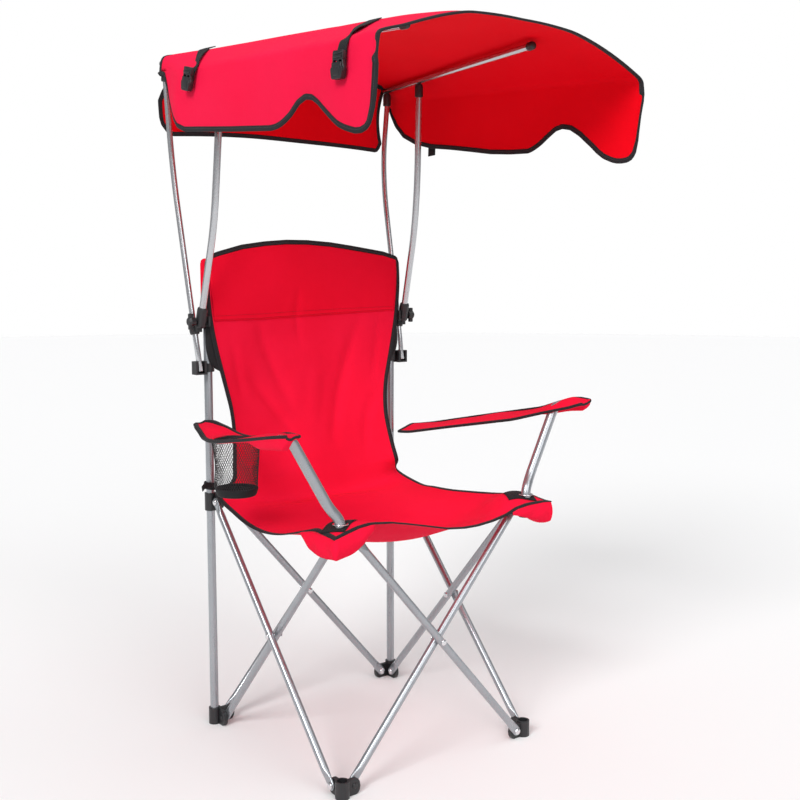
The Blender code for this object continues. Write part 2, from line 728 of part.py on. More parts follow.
def arm_top(y, left):
    """Height of an armrest: it rises from the post to the tube, and the left one sags where the cup holder hangs."""
    if left:
        return float(np.interp(y, [-0.26, -0.20, -0.06, -0.03, 0.02, 0.10, 0.16, 0.19], [0.6440, 0.6400, 0.6160, 0.6080, 0.6000, 0.5900, 0.5960, 0.6010]))
    return float(np.interp(y, [-0.26, -0.23, -0.19, -0.13, 0.03, 0.15, 0.19], [0.6480, 0.6460, 0.6400, 0.6200, 0.5860, 0.5640, 0.5580]))


def arm_inner(y, left):
    if left:
        return float(np.interp(y, [-0.26, -0.20, -0.10, -0.04, 0.03, 0.09, 0.14, 0.19], [0.3020, 0.2760, 0.2400, 0.2190, 0.2130, 0.2160, 0.2270, 0.2290]))
    return float(np.interp(y, [-0.26, -0.20, -0.05, 0.10, 0.19], [0.3060, 0.2740, 0.2390, 0.2300, 0.2290]))


def arm_outer(y):
    return float(np.interp(y, [-0.26, -0.20, -0.05, 0.10, 0.16, 0.19], [0.3420, 0.3380, 0.3240, 0.3150, 0.3000, 0.2760]))


for side, s in SIDES.items():
    ys = [-0.260, -0.235, -0.21, -0.16, -0.10, -0.05, 0.0, 0.05, 0.10, 0.14, 0.17, 0.190]
    rows = []
    for y in ys:
        a, b = arm_inner(y, s == LEFT), arm_outer(y)
        rows.append([(s * (a + (b - a) * j / 5), y, arm_top(y, s == LEFT) + 0.002 * math.sin(math.pi * j / 5)) for j in range(6)])
    rest = sheet(rows, SHELL)
    if s == LEFT:
        rest = minus(rest, cylinder((s * CUP_X, CUP_Y, 0.5), (s * CUP_X, CUP_Y, 0.7), 0.0400, 24))
    put(f"armrest_{side}", rest, RED, f"rear_{side}_corner", smooth=0)

cup = turned((-CUP_X, CUP_Y, CUP_LOW), (-CUP_X, CUP_Y, 1), [(0, CUP_R - 0.009), (0.006, CUP_R - 0.004), (CUP_TOP - CUP_LOW, CUP_R)], 24)
cup = minus(cup, turned((-CUP_X, CUP_Y, CUP_LOW + 0.0025), (-CUP_X, CUP_Y, 1), [(0, CUP_R - 0.0115), (0.006, CUP_R - 0.0065), (0.12, CUP_R - 0.0022)], 24))
put("cup_holder", cup, MESH, "rear_left_corner")


# canopy: roof and two hanging sides in one sheet
def side_drop(y):
    """Height of a side's lower edge: level at the rear, then one wave near the front."""
    y_at = [-0.414, -0.400, -0.370, -0.340, -0.305, -0.275, -0.250, -0.228, -0.205, -0.180, -0.150, -0.120, -0.05, 0.05, 0.15, 0.215, 0.240, 0.252, 0.268, 0.2845]
    z_at = [1.135, 1.098, 1.083, 1.088, 1.112, 1.132, 1.146, 1.150, 1.144, 1.130, 1.115, 1.110, 1.115, 1.126, 1.137, 1.160, 1.180, 1.200, 1.236, 1.256]
    return float(np.interp(y, y_at, z_at))


ys = [-0.414, -0.400, -0.370, -0.340, -0.305, -0.275, -0.250, -0.228, -0.205, -0.180, -0.150, -0.120, -0.05, 0.05, 0.15, 0.215, 0.240, 0.252, 0.268, 0.2845]
rows = []
for y in ys:
    row = []
    low, top = side_drop(y), roof_height(CANOPY_X, y)
    for f in (0.0, 0.35, 0.7, 1.0):
        row.append((-CANOPY_X - 0.004 * math.sin(math.pi * f) * 0.5, y, low + (top - low) * f))
    xr = rail_x(y)
    inner = [-(xr + (CANOPY_X - xr) * g) for g in (0.6, 0.3, 0.0)] + [-xr * g for g in (0.75, 0.5, 0.25)]
    for x in inner + [0.0] + [-x for x in reversed(inner)]:
        row.append((x, y, roof_height(x, y)))
    for f in (1.0, 0.7, 0.35, 0.0):
        row.append((CANOPY_X + 0.004 * math.sin(math.pi * f) * 0.5, y, low + (top - low) * f))
    rows.append(row)
put("canopy_fabric", sheet(rows, SHELL), RED, "canopy_truss_left", smooth=0)

rows = []
for f in (0.0, 0.33, 0.66, 1.0):
    row = []
    for j in range(11):
        x = (-1 + 2 * j / 10) * 0.268
        top = roof_height(x, 0.252) - 0.004
        low = 1.136 + 0.010 * (1 - (x / 0.268) ** 2)
        row.append((x, 0.2905 - 0.004 * f, low + (top - low) * f))
    rows.append(row)
put("canopy_rear_flap", sheet(rows, SHELL), RED, "canopy_truss_left", smooth=0)

# straps and buckles on the canopy's sides
for side, s in SIDES.items():
    for what, y, half in (("rear", 0.122, 0.0125), ("front", -0.328, 0.0125)):
        top = roof_height(CANOPY_X, y) - 0.002
        x0, x1 = CANOPY_X + 0.0045, CANOPY_X + 0.0063
        put(
            f"canopy_strap_{what}_{side}",
            block((min(s * x0, s * x1), y - half, top - 0.074), (max(s * x0, s * x1), y + half, top)),
            WEB,
            f"canopy_truss_{side}",
        )
        x2, x3 = x1 + GAP, x1 + 0.0093
        put(
            f"strap_buckle_{what}_{side}",
            block((min(s * x2, s * x3), y - half - 0.0035, top - 0.064), (max(s * x2, s * x3), y + half + 0.0035, top - 0.020), 0.002),
            BLACK,
            f"canopy_truss_{side}",
        )
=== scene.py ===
"""Looks of a folding camp chair with a canopy: metres, +Z up, the chair faces -Y, the sitter's right is -X."""

import json
import math

import bmesh
import bpy
import numpy as np
from mathutils import Matrix, Vector

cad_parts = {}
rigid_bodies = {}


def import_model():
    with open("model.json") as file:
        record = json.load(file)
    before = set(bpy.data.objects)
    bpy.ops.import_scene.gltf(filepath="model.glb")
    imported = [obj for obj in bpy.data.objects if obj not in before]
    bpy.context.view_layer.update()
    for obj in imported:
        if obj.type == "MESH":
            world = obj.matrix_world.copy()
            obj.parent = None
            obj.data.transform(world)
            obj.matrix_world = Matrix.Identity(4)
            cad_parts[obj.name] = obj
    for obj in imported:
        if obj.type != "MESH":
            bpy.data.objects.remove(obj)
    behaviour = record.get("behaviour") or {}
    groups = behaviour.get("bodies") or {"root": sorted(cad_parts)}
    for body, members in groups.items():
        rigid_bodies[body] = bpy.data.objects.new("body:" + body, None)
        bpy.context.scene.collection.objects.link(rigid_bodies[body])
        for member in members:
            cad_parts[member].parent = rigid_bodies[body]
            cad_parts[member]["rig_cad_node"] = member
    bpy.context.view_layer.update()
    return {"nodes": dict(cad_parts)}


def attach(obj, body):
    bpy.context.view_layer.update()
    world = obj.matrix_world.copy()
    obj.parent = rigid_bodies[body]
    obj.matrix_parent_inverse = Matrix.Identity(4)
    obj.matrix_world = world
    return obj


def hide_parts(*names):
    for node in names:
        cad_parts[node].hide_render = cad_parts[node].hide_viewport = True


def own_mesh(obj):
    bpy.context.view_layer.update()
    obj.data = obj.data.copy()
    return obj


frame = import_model()
Y0, SINK = 0.0611, 0.008  # the numbers below are counted from a middle this far behind the origin and this far under the floor
HOME = np.array([0.0, Y0, -SINK])

# ---------------------------------------------------------------- camera
AZ, EL, FOCAL_PX = math.radians(-38.49), math.radians(6.5), 1145.68
cam_data = bpy.data.cameras.new("camera")
cam_data.sensor_width = 36.0
cam_data.lens = FOCAL_PX * 36.0 / 800.0
cam_data.clip_start = 0.05
cam = bpy.data.objects.new("camera", cam_data)
bpy.context.scene.collection.objects.link(cam)
fwd = Vector((-math.sin(AZ) * math.cos(EL), math.cos(AZ) * math.cos(EL), -math.sin(EL)))
right = Vector((math.cos(AZ), math.sin(AZ), 0.0))
up = right.cross(fwd)
cam.matrix_world = Matrix.Translation((-1.280, -1.656, 0.891 - SINK)) @ Matrix((right, up, -fwd)).transposed().to_4x4()
bpy.context.scene.camera = cam

# ---------------------------------------------------------------- light and floor
scene = bpy.context.scene
scene.view_settings.view_transform = "Standard"
scene.view_settings.look = "None"
world = bpy.data.worlds.new("studio")
scene.world = world
world.use_nodes = True
wn, wl = world.node_tree.nodes, world.node_tree.links
wn.clear()
w_out = wn.new("ShaderNodeOutputWorld")
w_bg = wn.new("ShaderNodeBackground")
w_bg.inputs["Color"].default_value = (1.0, 1.0, 1.0, 1.0)
w_bg.inputs["Strength"].default_value = 1.0
w_soft = wn.new("ShaderNodeBackground")
w_tc = wn.new("ShaderNodeTexCoord")
w_sep = wn.new("ShaderNodeSeparateXYZ")
w_ramp = wn.new("ShaderNodeValToRGB")
w_ramp.color_ramp.elements[0].position = 0.0
w_ramp.color_ramp.elements[0].color = (0.38, 0.38, 0.39, 1)
w_ramp.color_ramp.elements[1].position = 1.0
w_ramp.color_ramp.elements[1].color = (0.62, 0.62, 0.62, 1)
mid = w_ramp.color_ramp.elements.new(0.45)
mid.color = (0.26, 0.26, 0.27, 1)
wl.new(w_tc.outputs["Generated"], w_sep.inputs[0])
wl.new(w_sep.outputs["Z"], w_ramp.inputs["Fac"])
wl.new(w_ramp.outputs["Color"], w_soft.inputs["Color"])
w_soft.inputs["Strength"].default_value = 1.0
w_path = wn.new("ShaderNodeLightPath")
w_mix = wn.new("ShaderNodeMixShader")
wl.new(w_path.outputs["Is Camera Ray"], w_mix.inputs[0])
wl.new(w_soft.outputs[0], w_mix.inputs[1])
wl.new(w_bg.outputs[0], w_mix.inputs[2])
wl.new(w_mix.outputs[0], w_out.inputs["Surface"])


def sun(name, azimuth, elevation, strength, spread):
    """Soft directional light that comes from azimuth (0 is from -Y, positive turns to +X) and elevation."""
    d = bpy.data.lights.new(name, "SUN")
    d.energy = strength
    d.angle = math.radians(spread)
    o = bpy.data.objects.new(name, d)
    a, e = math.radians(azimuth), math.radians(elevation)
    source = Vector((math.sin(a) * math.cos(e), -math.cos(a) * math.cos(e), math.sin(e)))
    o.rotation_mode = "QUATERNION"
    o.rotation_quaternion = source.to_track_quat("Z", "Y")
    scene.collection.objects.link(o)


sun("key", -66, 34, 2.0, 24)
sun("front", -8, 30, 0.95, 40)
sun("top", 30, 70, 0.55, 50)


# ---------------------------------------------------------------- materials
def new_material(name, colour, rough, metal=0.0):
    m = bpy.data.materials.new(name)
    m.use_nodes = True
    n, l = m.node_tree.nodes, m.node_tree.links
    b = n["Principled BSDF"]
    b.inputs["Base Color"].default_value = (*colour, 1)
    b.inputs["Roughness"].default_value = rough
    b.inputs["Metallic"].default_value = metal
    return m, n, l, b


def math_node(n, l, op, a, b=None, c=None):
    m = n.new("ShaderNodeMath")
    m.operation = op
    for i, v in enumerate((a, b, c)):
        if v is None:
            continue
        if isinstance(v, (int, float)):
            m.inputs[i].default_value = v
        else:
            l.new(v, m.inputs[i])
    return m.outputs[0]


def noise(n, l, scale, detail=3.0, rough=0.5, coords=None, stretch=None):
    t = n.new("ShaderNodeTexNoise")
    t.inputs["Scale"].default_value = scale
    t.inputs["Detail"].default_value = detail
    t.inputs["Roughness"].default_value = rough
    if coords is None:
        coords = n.new("ShaderNodeTexCoord").outputs["Object"]
    if stretch:
        mp = n.new("ShaderNodeMapping")
        mp.inputs["Scale"].default_value = stretch
        l.new(coords, mp.inputs["Vector"])
        coords = mp.outputs["Vector"]
    l.new(coords, t.inputs["Vector"])
    return t.outputs["Fac"]


def mix_colour(n, l, fac, a, b):
    m = n.new("ShaderNodeMix")
    m.data_type = "RGBA"
    for sock, v in (("Factor", fac), ("A", a), ("B", b)):
        s = [x for x in m.inputs if x.name == sock and (x.type == ("VALUE" if sock == "Factor" else "RGBA"))][0]
        if isinstance(v, tuple):
            s.default_value = (*v, 1)
        elif isinstance(v, (int, float)):
            s.default_value = v
        else:
            l.new(v, s)
    return [x for x in m.outputs if x.type == "RGBA"][0]


def spread(n, l, value, lo, hi, to_lo=0.0, to_hi=1.0):
    r = n.new("ShaderNodeMapRange")
    l.new(value, r.inputs["Value"])
    for k, v in (("From Min", lo), ("From Max", hi), ("To Min", to_lo), ("To Max", to_hi)):
        r.inputs[k].default_value = v
    return r.outputs["Result"]


def bump(n, l, b, height, strength, distance, after=None):
    k = n.new("ShaderNodeBump")
    k.inputs["Strength"].default_value = strength
    k.inputs["Distance"].default_value = distance
    l.new(height, k.inputs["Height"])
    if after is not None:
        l.new(after, k.inputs["Normal"])
    l.new(k.outputs["Normal"], b.inputs["Normal"])
    return k.outputs["Normal"]


def cloth(name, colour, shade, rough=0.78, pitch=0.0011, sheen=0.05, tint=(1.0, 0.25, 0.35)):
    """Plain-weave polyester canvas: threads over and under each other, slubs, and a faint unevenness of the dye."""
    m, n, l, b = new_material(name, colour, rough)
    uv = n.new("ShaderNodeUVMap")
    uv.uv_map = "cut"
    sep = n.new("ShaderNodeSeparateXYZ")
    l.new(uv.outputs["UV"], sep.inputs[0])
    k = 2 * math.pi / pitch
    wobble = noise(n, l, 60, 2)
    u = math_node(n, l, "SINE", math_node(n, l, "MULTIPLY_ADD", sep.outputs["X"], k, wobble))
    v = math_node(n, l, "SINE", math_node(n, l, "MULTIPLY_ADD", sep.outputs["Y"], k, wobble))
    weave = math_node(n, l, "MULTIPLY", u, v)
    weave01 = spread(n, l, weave, -1, 1)
    slub = noise(n, l, 1.0, 3, 0.6, uv.outputs["UV"], (60, 900, 1))
    slub2 = noise(n, l, 1.0, 3, 0.6, uv.outputs["UV"], (900, 60, 1))
    dye = noise(n, l, 5.0, 4, 0.55)
    fine = noise(n, l, 140.0, 3, 0.6)
    f = math_node(n, l, "MULTIPLY_ADD", spread(n, l, dye, 0.3, 0.7), 0.40, math_node(n, l, "MULTIPLY", weave01, 0.22))
    f = math_node(n, l, "MULTIPLY_ADD", slub, 0.22, f)
    f = math_node(n, l, "MULTIPLY_ADD", fine, 0.16, f)
    l.new(mix_colour(n, l, f, shade, colour), b.inputs["Base Color"])
    l.new(spread(n, l, fine, 0.2, 0.8, rough - 0.06, rough + 0.06), b.inputs["Roughness"])
    first = bump(n, l, b, math_node(n, l, "MULTIPLY_ADD", slub2, 0.5, math_node(n, l, "MULTIPLY_ADD", slub, 0.5, weave01)), 0.35, 0.00025)
    crumple = noise(n, l, 26.0, 4, 0.55)
    bump(n, l, b, crumple, 0.22, 0.0035, first)
    b.inputs["Sheen Weight"].default_value = sheen
    b.inputs["Sheen Roughness"].default_value = 0.45
    b.inputs["Sheen Tint"].default_value = (*tint, 1)
    b.inputs["Specular IOR Level"].default_value = 0.06
    return m


def tape(name, colour, shade, rib, rough=0.78, stitches=True):
    """Woven tape: a rib across its length, and one row of stitches near the inner edge of each face."""
    m, n, l, b = new_material(name, colour, rough)
    uv = n.new("ShaderNodeUVMap")
    uv.uv_map = "cut"
    sep = n.new("ShaderNodeSeparateXYZ")
    l.new(uv.outputs["UV"], sep.inputs[0])
    k = 2 * math.pi / rib
    slant = math_node(n, l, "MULTIPLY_ADD", sep.outputs["X"], k, math_node(n, l, "MULTIPLY", sep.outputs["Y"], k))
    ribs = spread(n, l, math_node(n, l, "SINE", slant), -1, 1)
    fuzz = noise(n, l, 420, 3, 0.6)
    f = math_node(n, l, "MULTIPLY_ADD", ribs, 0.45, math_node(n, l, "MULTIPLY", fuzz, 0.55))
    base = mix_colour(n, l, f, shade, colour)
    height = math_node(n, l, "MULTIPLY_ADD", fuzz, 0.6, ribs)
    if stitches:
        dash = math_node(n, l, "LESS_THAN", math_node(n, l, "FRACT", math_node(n, l, "DIVIDE", sep.outputs["X"], 0.0034)), 0.62)
        off = math_node(n, l, "ABSOLUTE", math_node(n, l, "SUBTRACT", math_node(n, l, "ABSOLUTE", sep.outputs["Y"]), 0.0066))
        thread = math_node(n, l, "MULTIPLY", dash, math_node(n, l, "LESS_THAN", off, 0.00035))
        base = mix_colour(n, l, thread, base, tuple(min(1, 2.2 * c) for c in colour))
        height = math_node(n, l, "MULTIPLY_ADD", thread, 1.2, height)
    l.new(base, b.inputs["Base Color"])
    bump(n, l, b, height, 0.5, 0.0003)
    b.inputs["Sheen Weight"].default_value = 0.05
    b.inputs["Sheen Roughness"].default_value = 0.4
    b.inputs["Specular IOR Level"].default_value = 0.2
    return m


def painted(name, colour, rough, metal, coat):
    """Silver-grey baked paint over steel tube: a fine flake, slight orange peel and faint rubbed streaks."""
    m, n, l, b = new_material(name, colour, rough, metal)
    flake = noise(n, l, 1800, 2, 0.5)
    patch = noise(n, l, 14, 4, 0.6)
    rub = noise(n, l, 60, 3, 0.6, stretch=(1, 1, 0.12))
    f = math_node(n, l, "MULTIPLY_ADD", spread(n, l, patch, 0.35, 0.65), 0.5, math_node(n, l, "MULTIPLY", flake, 0.5))
    l.new(mix_colour(n, l, f, tuple(0.90 * c for c in colour), tuple(min(1, 1.06 * c) for c in colour)), b.inputs["Base Color"])
    l.new(spread(n, l, math_node(n, l, "MULTIPLY_ADD", rub, 0.6, math_node(n, l, "MULTIPLY", flake, 0.4)), 0.3, 0.7, rough - 0.05, rough + 0.07), b.inputs["Roughness"])
    bump(n, l, b, math_node(n, l, "MULTIPLY_ADD", patch, 0.5, noise(n, l, 260, 2, 0.5)), 0.06, 0.0004)
    b.inputs["Coat Weight"].default_value = coat
    b.inputs["Coat Roughness"].default_value = 0.12
    return m


def plastic(name, colour, rough):
    """Moulded plastic with a spark-eroded grain and faint flow marks."""
    m, n, l, b = new_material(name, colour, rough)
    grain = noise(n, l, 900, 3, 0.6)
    flow = noise(n, l, 35, 3, 0.6)
    f = math_node(n, l, "MULTIPLY_ADD", flow, 0.6, math_node(n, l, "MULTIPLY", grain, 0.4))
    l.new(mix_colour(n, l, f, tuple(0.6 * c for c in colour), tuple(1.5 * c for c in colour)), b.inputs["Base Color"])
    l.new(spread(n, l, f, 0.3, 0.7, rough - 0.08, rough + 0.1), b.inputs["Roughness"])
    bump(n, l, b, grain, 0.18, 0.0002)
    b.inputs["Specular IOR Level"].default_value = 0.55
    return m


def plated(name, colour, rough):
    m, n, l, b = new_material(name, colour, rough, 1.0)
    t = noise(n, l, 160, 3, 0.6)
    l.new(mix_colour(n, l, t, tuple(0.85 * c for c in colour), colour), b.inputs["Base Color"])
    l.new(spread(n, l, t, 0.3, 0.7, rough - 0.05, rough + 0.08), b.inputs["Roughness"])
    bump(n, l, b, t, 0.08, 0.0002)
    return m


RED = cloth("red_canvas", (0.90, 0.0105, 0.055), (0.77, 0.0030, 0.026), sheen=0.03)
# darker, deeper copy of the red canvas for doubled cloth: painted shade where less light comes through
RED_DOUBLE_PAINTED_SHADE = cloth("red_canvas_double_painted_shade", (0.86, 0.0050, 0.034), (0.74, 0.0020, 0.018), sheen=0.03)
# darker, deeper copy of the canopy's red for its inner faces and the rear flap: painted shade under the roof
RED_CANOPY_PAINTED_SHADE = cloth("red_canopy_inside_painted_shade", (0.84, 0.0014, 0.012), (0.72, 0.0008, 0.007), sheen=0.0)
# pinker copy of the canopy's red for its outer faces: painted highlight where the light falls on the cover
RED_CANOPY_PAINTED_LIT = cloth("red_canopy_cloth_painted_lit", (0.90, 0.0120, 0.070), (0.80, 0.0060, 0.045), 0.72, 0.0009, 0.05, (1.0, 0.30, 0.45))
CHARCOAL = tape("charcoal_binding", (0.026, 0.026, 0.029), (0.010, 0.010, 0.012), 0.0016)
WEB = tape("black_webbing", (0.020, 0.020, 0.022), (0.007, 0.007, 0.008), 0.0022, 0.7)
PATCH = tape("black_patch_cloth", (0.022, 0.022, 0.024), (0.008, 0.008, 0.009), 0.0014, 0.8, False)
NET = plastic("black_net_thread", (0.018, 0.018, 0.020), 0.6)
GREY = painted("silver_grey_paint", (0.38, 0.40, 0.425), 0.28, 0.80, 0.35)
POLE = painted("bright_silver_paint", (0.55, 0.56, 0.58), 0.20, 0.90, 0.4)
BLACK = plastic("black_moulded_plastic", (0.014, 0.014, 0.016), 0.40)
# darker copy of the black plastic for hollows: painted shade
PLASTIC_PAINTED_HOLLOW_SHADE = plastic("black_plastic_painted_hollow_shade", (0.006, 0.006, 0.007), 0.6)
RIVET = plated("plated_rivet", (0.82, 0.82, 0.84), 0.20)


# ---------------------------------------------------------------- mesh helpers
def add_piece(name, mesh, mat, body, replaces=(), smooth=None):
    mesh.materials.clear()
    mesh.materials.append(mat)
    if smooth is None:
        mesh.shade_smooth()
    else:
        mesh.shade_smooth()
        mesh.set_sharp_from_angle(angle=math.radians(smooth))
    o = bpy.data.objects.new(name, mesh)
    scene.collection.objects.link(o)
    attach(o, body)
    if replaces:
        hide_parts(*replaces)
    return o


def mesh_from(name, verts, faces, uvs=None):
    """verts in the chair's own middle frame; uvs is one pair for each vertex."""
    v = np.asarray(verts, float).reshape(-1, 3) + HOME
    me = bpy.data.meshes.new(name)
    me.from_pydata(v.tolist(), [], faces)
    if uvs is not None:
        lay = me.uv_layers.new(name="cut")
        idx = np.empty(len(me.loops), np.int32)
        me.loops.foreach_get("vertex_index", idx)
        lay.uv.foreach_set("vector", np.asarray(uvs, np.float32)[idx].ravel())
    me.validate()
    me.update()
    return me


def fix_normals(me):
    bm = bmesh.new()
    bm.from_mesh(me)
    bmesh.ops.recalc_face_normals(bm, faces=bm.faces[:])
    bm.to_mesh(me)
    bm.free()
    return me


def unit(a):
    a = np.asarray(a, float)
    return a / np.maximum(np.linalg.norm(a, axis=-1, keepdims=True), 1e-12)


def grid_normals(p):
    du, dv = np.gradient(p, axis=0), np.gradient(p, axis=1)
    return unit(np.cross(du, dv))


def cut_uv(p):
    """Distances along the cloth, so that its threads keep their pitch."""
    a = np.concatenate([np.zeros((1, p.shape[1])), np.cumsum(np.linalg.norm(np.diff(p, axis=0), axis=2), axis=0)])
    b = np.concatenate([np.zeros((p.shape[0], 1)), np.cumsum(np.linalg.norm(np.diff(p, axis=1), axis=2), axis=1)], axis=1)
    b = b - b.mean(axis=1, keepdims=True)
    return np.stack([b, a], -1)


def sheet_mesh(name, p, thick, nr=None, uv=None):
    """Closed cloth of even thickness around a grid of points; nr and uv come from the whole cloth where p is a length of it."""
    p = np.asarray(p, float)
    m, n = p.shape[:2]
    nr = grid_normals(p) if nr is None else nr
    top, low = p + nr * thick / 2, p - nr * thick / 2
    uv = (cut_uv(p) if uv is None else uv).reshape(-1, 2)
    idx = np.arange(m * n).reshape(m, n)
    q = np.stack([idx[:-1, :-1], idx[1:, :-1], idx[1:, 1:], idx[:-1, 1:]], -1).reshape(-1, 4)
    k = m * n
    faces = q.tolist() + (q[:, ::-1] + k).tolist()
    ring = ring_of(m, n)
    for a, b in zip(ring, ring[1:] + ring[:1]):
        faces.append([a, b, b + k, a + k])
    me = mesh_from(name, np.concatenate([top.reshape(-1, 3), low.reshape(-1, 3)]), faces, np.concatenate([uv, uv]))
    return fix_normals(me)


def sheet_side(p):
    """Positive where the first layer of sheet_mesh is the upper one in the sheet's middle."""
    return grid_normals(p)[p.shape[0] // 2, p.shape[1] // 2, 2]


def ring_of(m, n):
    """Indices around the edge of an m by n grid."""
    return (
        [j for j in range(n)]
        + [i * n + n - 1 for i in range(1, m)]
        + [(m - 1) * n + j for j in range(n - 2, -1, -1)]
        + [i * n for i in range(m - 2, 0, -1)]
    )


def edge_frames(p, which=None):
    """Points around a grid's edge, with the surface normal and the direction into the cloth at each."""
    m, n = p.shape[:2]
    nr = grid_normals(p)
    ring = which or ring_of(m, n)
    pts = p.reshape(-1, 3)[ring]
    nrm = nr.reshape(-1, 3)[ring]
    inner = []
    for k in ring:
        i, j = divmod(k, n)
        ii, jj = min(max(i, 1), m - 2), min(max(j, 1), n - 2)
        inner.append(p[ii, jj] - p[i, j])
    return pts, nrm, unit(inner)


def tape_round(name, pts, nrm, inn, body, mat=None, width=0.0082, closed=True, half=0.0013, lip=0.0010):
    """Binding tape folded over an edge: it runs along pts and reaches `width` into the cloth on both faces."""
    pts, nrm, inn = (np.asarray(a, float) for a in (pts, nrm, inn))
    keep = [0]
    for i in range(1, len(pts)):
        if np.linalg.norm(pts[i] - pts[keep[-1]]) > 0.0012:
            keep.append(i)
    if closed and np.linalg.norm(pts[keep[-1]] - pts[keep[0]]) < 0.0012:
        keep.pop()
    pts, nrm, inn = pts[keep], nrm[keep], inn[keep]
    k = len(pts)
    if closed:
        tan = unit(np.roll(pts, -1, 0) - np.roll(pts, 1, 0))
    else:
        tan = unit(np.gradient(pts, axis=0))
    for _ in range(2):
        if closed:
            nrm = unit(nrm + 0.5 * (np.roll(nrm, 1, 0) + np.roll(nrm, -1, 0)))
        else:
            nrm[1:-1] = unit(nrm[1:-1] + 0.5 * (nrm[2:] + nrm[:-2]))
    side = unit(np.cross(nrm, tan))
    side = side * (1.0 if (side * inn).sum() >= 0 else -1.0)
    nrm = unit(np.cross(tan, side)) * 1.0
    w, h, e = width, half, lip
    prof = [(w, h * 0.55), (w - 0.0006, h), (w * 0.5, h * 1.08), (0.0006, h), (-e * 0.75, h * 0.62), (-e, 0.0), (-e * 0.75, -h * 0.62), (0.0006, -h), (w * 0.5, -h * 1.08), (w - 0.0006, -h), (w, -h * 0.55)]
    across = [0.0]
    for a, b in zip(prof, prof[1:]):
        across.append(across[-1] + math.dist(a, b))
    across = np.array(across) - across[-1] / 2
    # the stitches lie 1.5 mm inside the tape's inner edges on both faces
    along = np.concatenate([[0], np.cumsum(np.linalg.norm(np.diff(pts, axis=0), axis=1))])
    verts, uvs = [], []
    c = len(prof)
    for i in range(k):
        for (a, b), s in zip(prof, across):
            verts.append(pts[i] + side[i] * a + nrm[i] * b)
            uvs.append((along[i], s))
    faces = []
    last = k if closed else k - 1
    for i in range(last):
        i2 = (i + 1) % k
        for j in range(c):
            j2 = (j + 1) % c
            faces.append([i * c + j, i2 * c + j, i2 * c + j2, i * c + j2])
    if not closed:
        faces.append(list(range(c))[::-1])
        faces.append([(k - 1) * c + j for j in range(c)])
    me = fix_normals(mesh_from(name, verts, faces, uvs))
    return add_piece(name, me, mat or CHARCOAL, body, (), None if closed else 60)


def sweep(name, pts, radii, seg=28, up_hint=None, cap=True, squash=None):
    """Closed round tube through points. radii is one number or one for each point; squash gives (wide, thin) for each."""
    pts = np.asarray([list(p) for p in pts], float)
    k = len(pts)
    radii = np.full(k, float(radii)) if np.isscalar(radii) else np.asarray(radii, float)
    tan = unit(np.gradient(pts, axis=0))
    ref = np.array(up_hint if up_hint is not None else ((0, 0, 1) if abs(tan[0][2]) < 0.9 else (1, 0, 0)), float)
    u = unit(np.cross(tan[0], ref))
    verts, uvs = [], []
    along = np.concatenate([[0], np.cumsum(np.linalg.norm(np.diff(pts, axis=0), axis=1))])
    for i in range(k):
        u = unit(u - tan[i] * (u @ tan[i]))
        v = np.cross(tan[i], u)
        for t in range(seg):
            a = 2 * math.pi * t / seg
            verts.append(pts[i] + radii[i] * (math.cos(a) * u + math.sin(a) * v))
            uvs.append((radii[i] * a, along[i]))
    faces = []
    for i in range(k - 1):
        for t in range(seg):
            t2 = (t + 1) % seg
            faces.append([i * seg + t, i * seg + t2, (i + 1) * seg + t2, (i + 1) * seg + t])
    if cap:
        faces.append(list(range(seg))[::-1])
        faces.append([(k - 1) * seg + t for t in range(seg)])
    return fix_normals(mesh_from(name, verts, faces, uvs))


def tube_points(pts, r, wall=0.0010, deep=0.012, open_start=False, open_end=False):
    """Centre points and radii of a tube whose open ends turn in, so that its wall shows."""
    pts = [np.array(p, float) for p in pts]
    a, b = unit(pts[1] - pts[0]), unit(pts[-1] - pts[-2])
    head = [(pts[0] + a * deep, r - wall), (pts[0] + a * 0.0002, r - wall), (pts[0], r - wall * 0.7), (pts[0], r - wall * 0.3)] if open_start else [(pts[0], r - 0.0008)]
    tail = [(pts[-1], r - wall * 0.3), (pts[-1], r - wall * 0.7), (pts[-1] - b * 0.0002, r - wall), (pts[-1] - b * deep, r - wall)] if open_end else [(pts[-1], r - 0.0008)]
    mid_ = [(pts[0] + a * 0.0006, r)] + [(p, r) for p in pts[1:-1]] + [(pts[-1] - b * 0.0006, r)]
    return head + mid_ + tail


def bent(points, steps=5, turn=0.03):
    """Points along straight runs joined by round bends that start `turn` before each corner."""
    pts = [Vector(p) for p in points]
    out = [pts[0]]
    for a, c, b in zip(pts, pts[1:], pts[2:]):
        t = min(turn, (c - a).length * 0.45, (b - c).length * 0.45)
        s, e = c + (a - c).normalized() * t, c + (b - c).normalized() * t
        for k in range(steps + 1):
            f = k / steps
            out.append(s * (1 - f) ** 2 + c * 2 * f * (1 - f) + e * f * f)
    out.append(pts[-1])
    return out


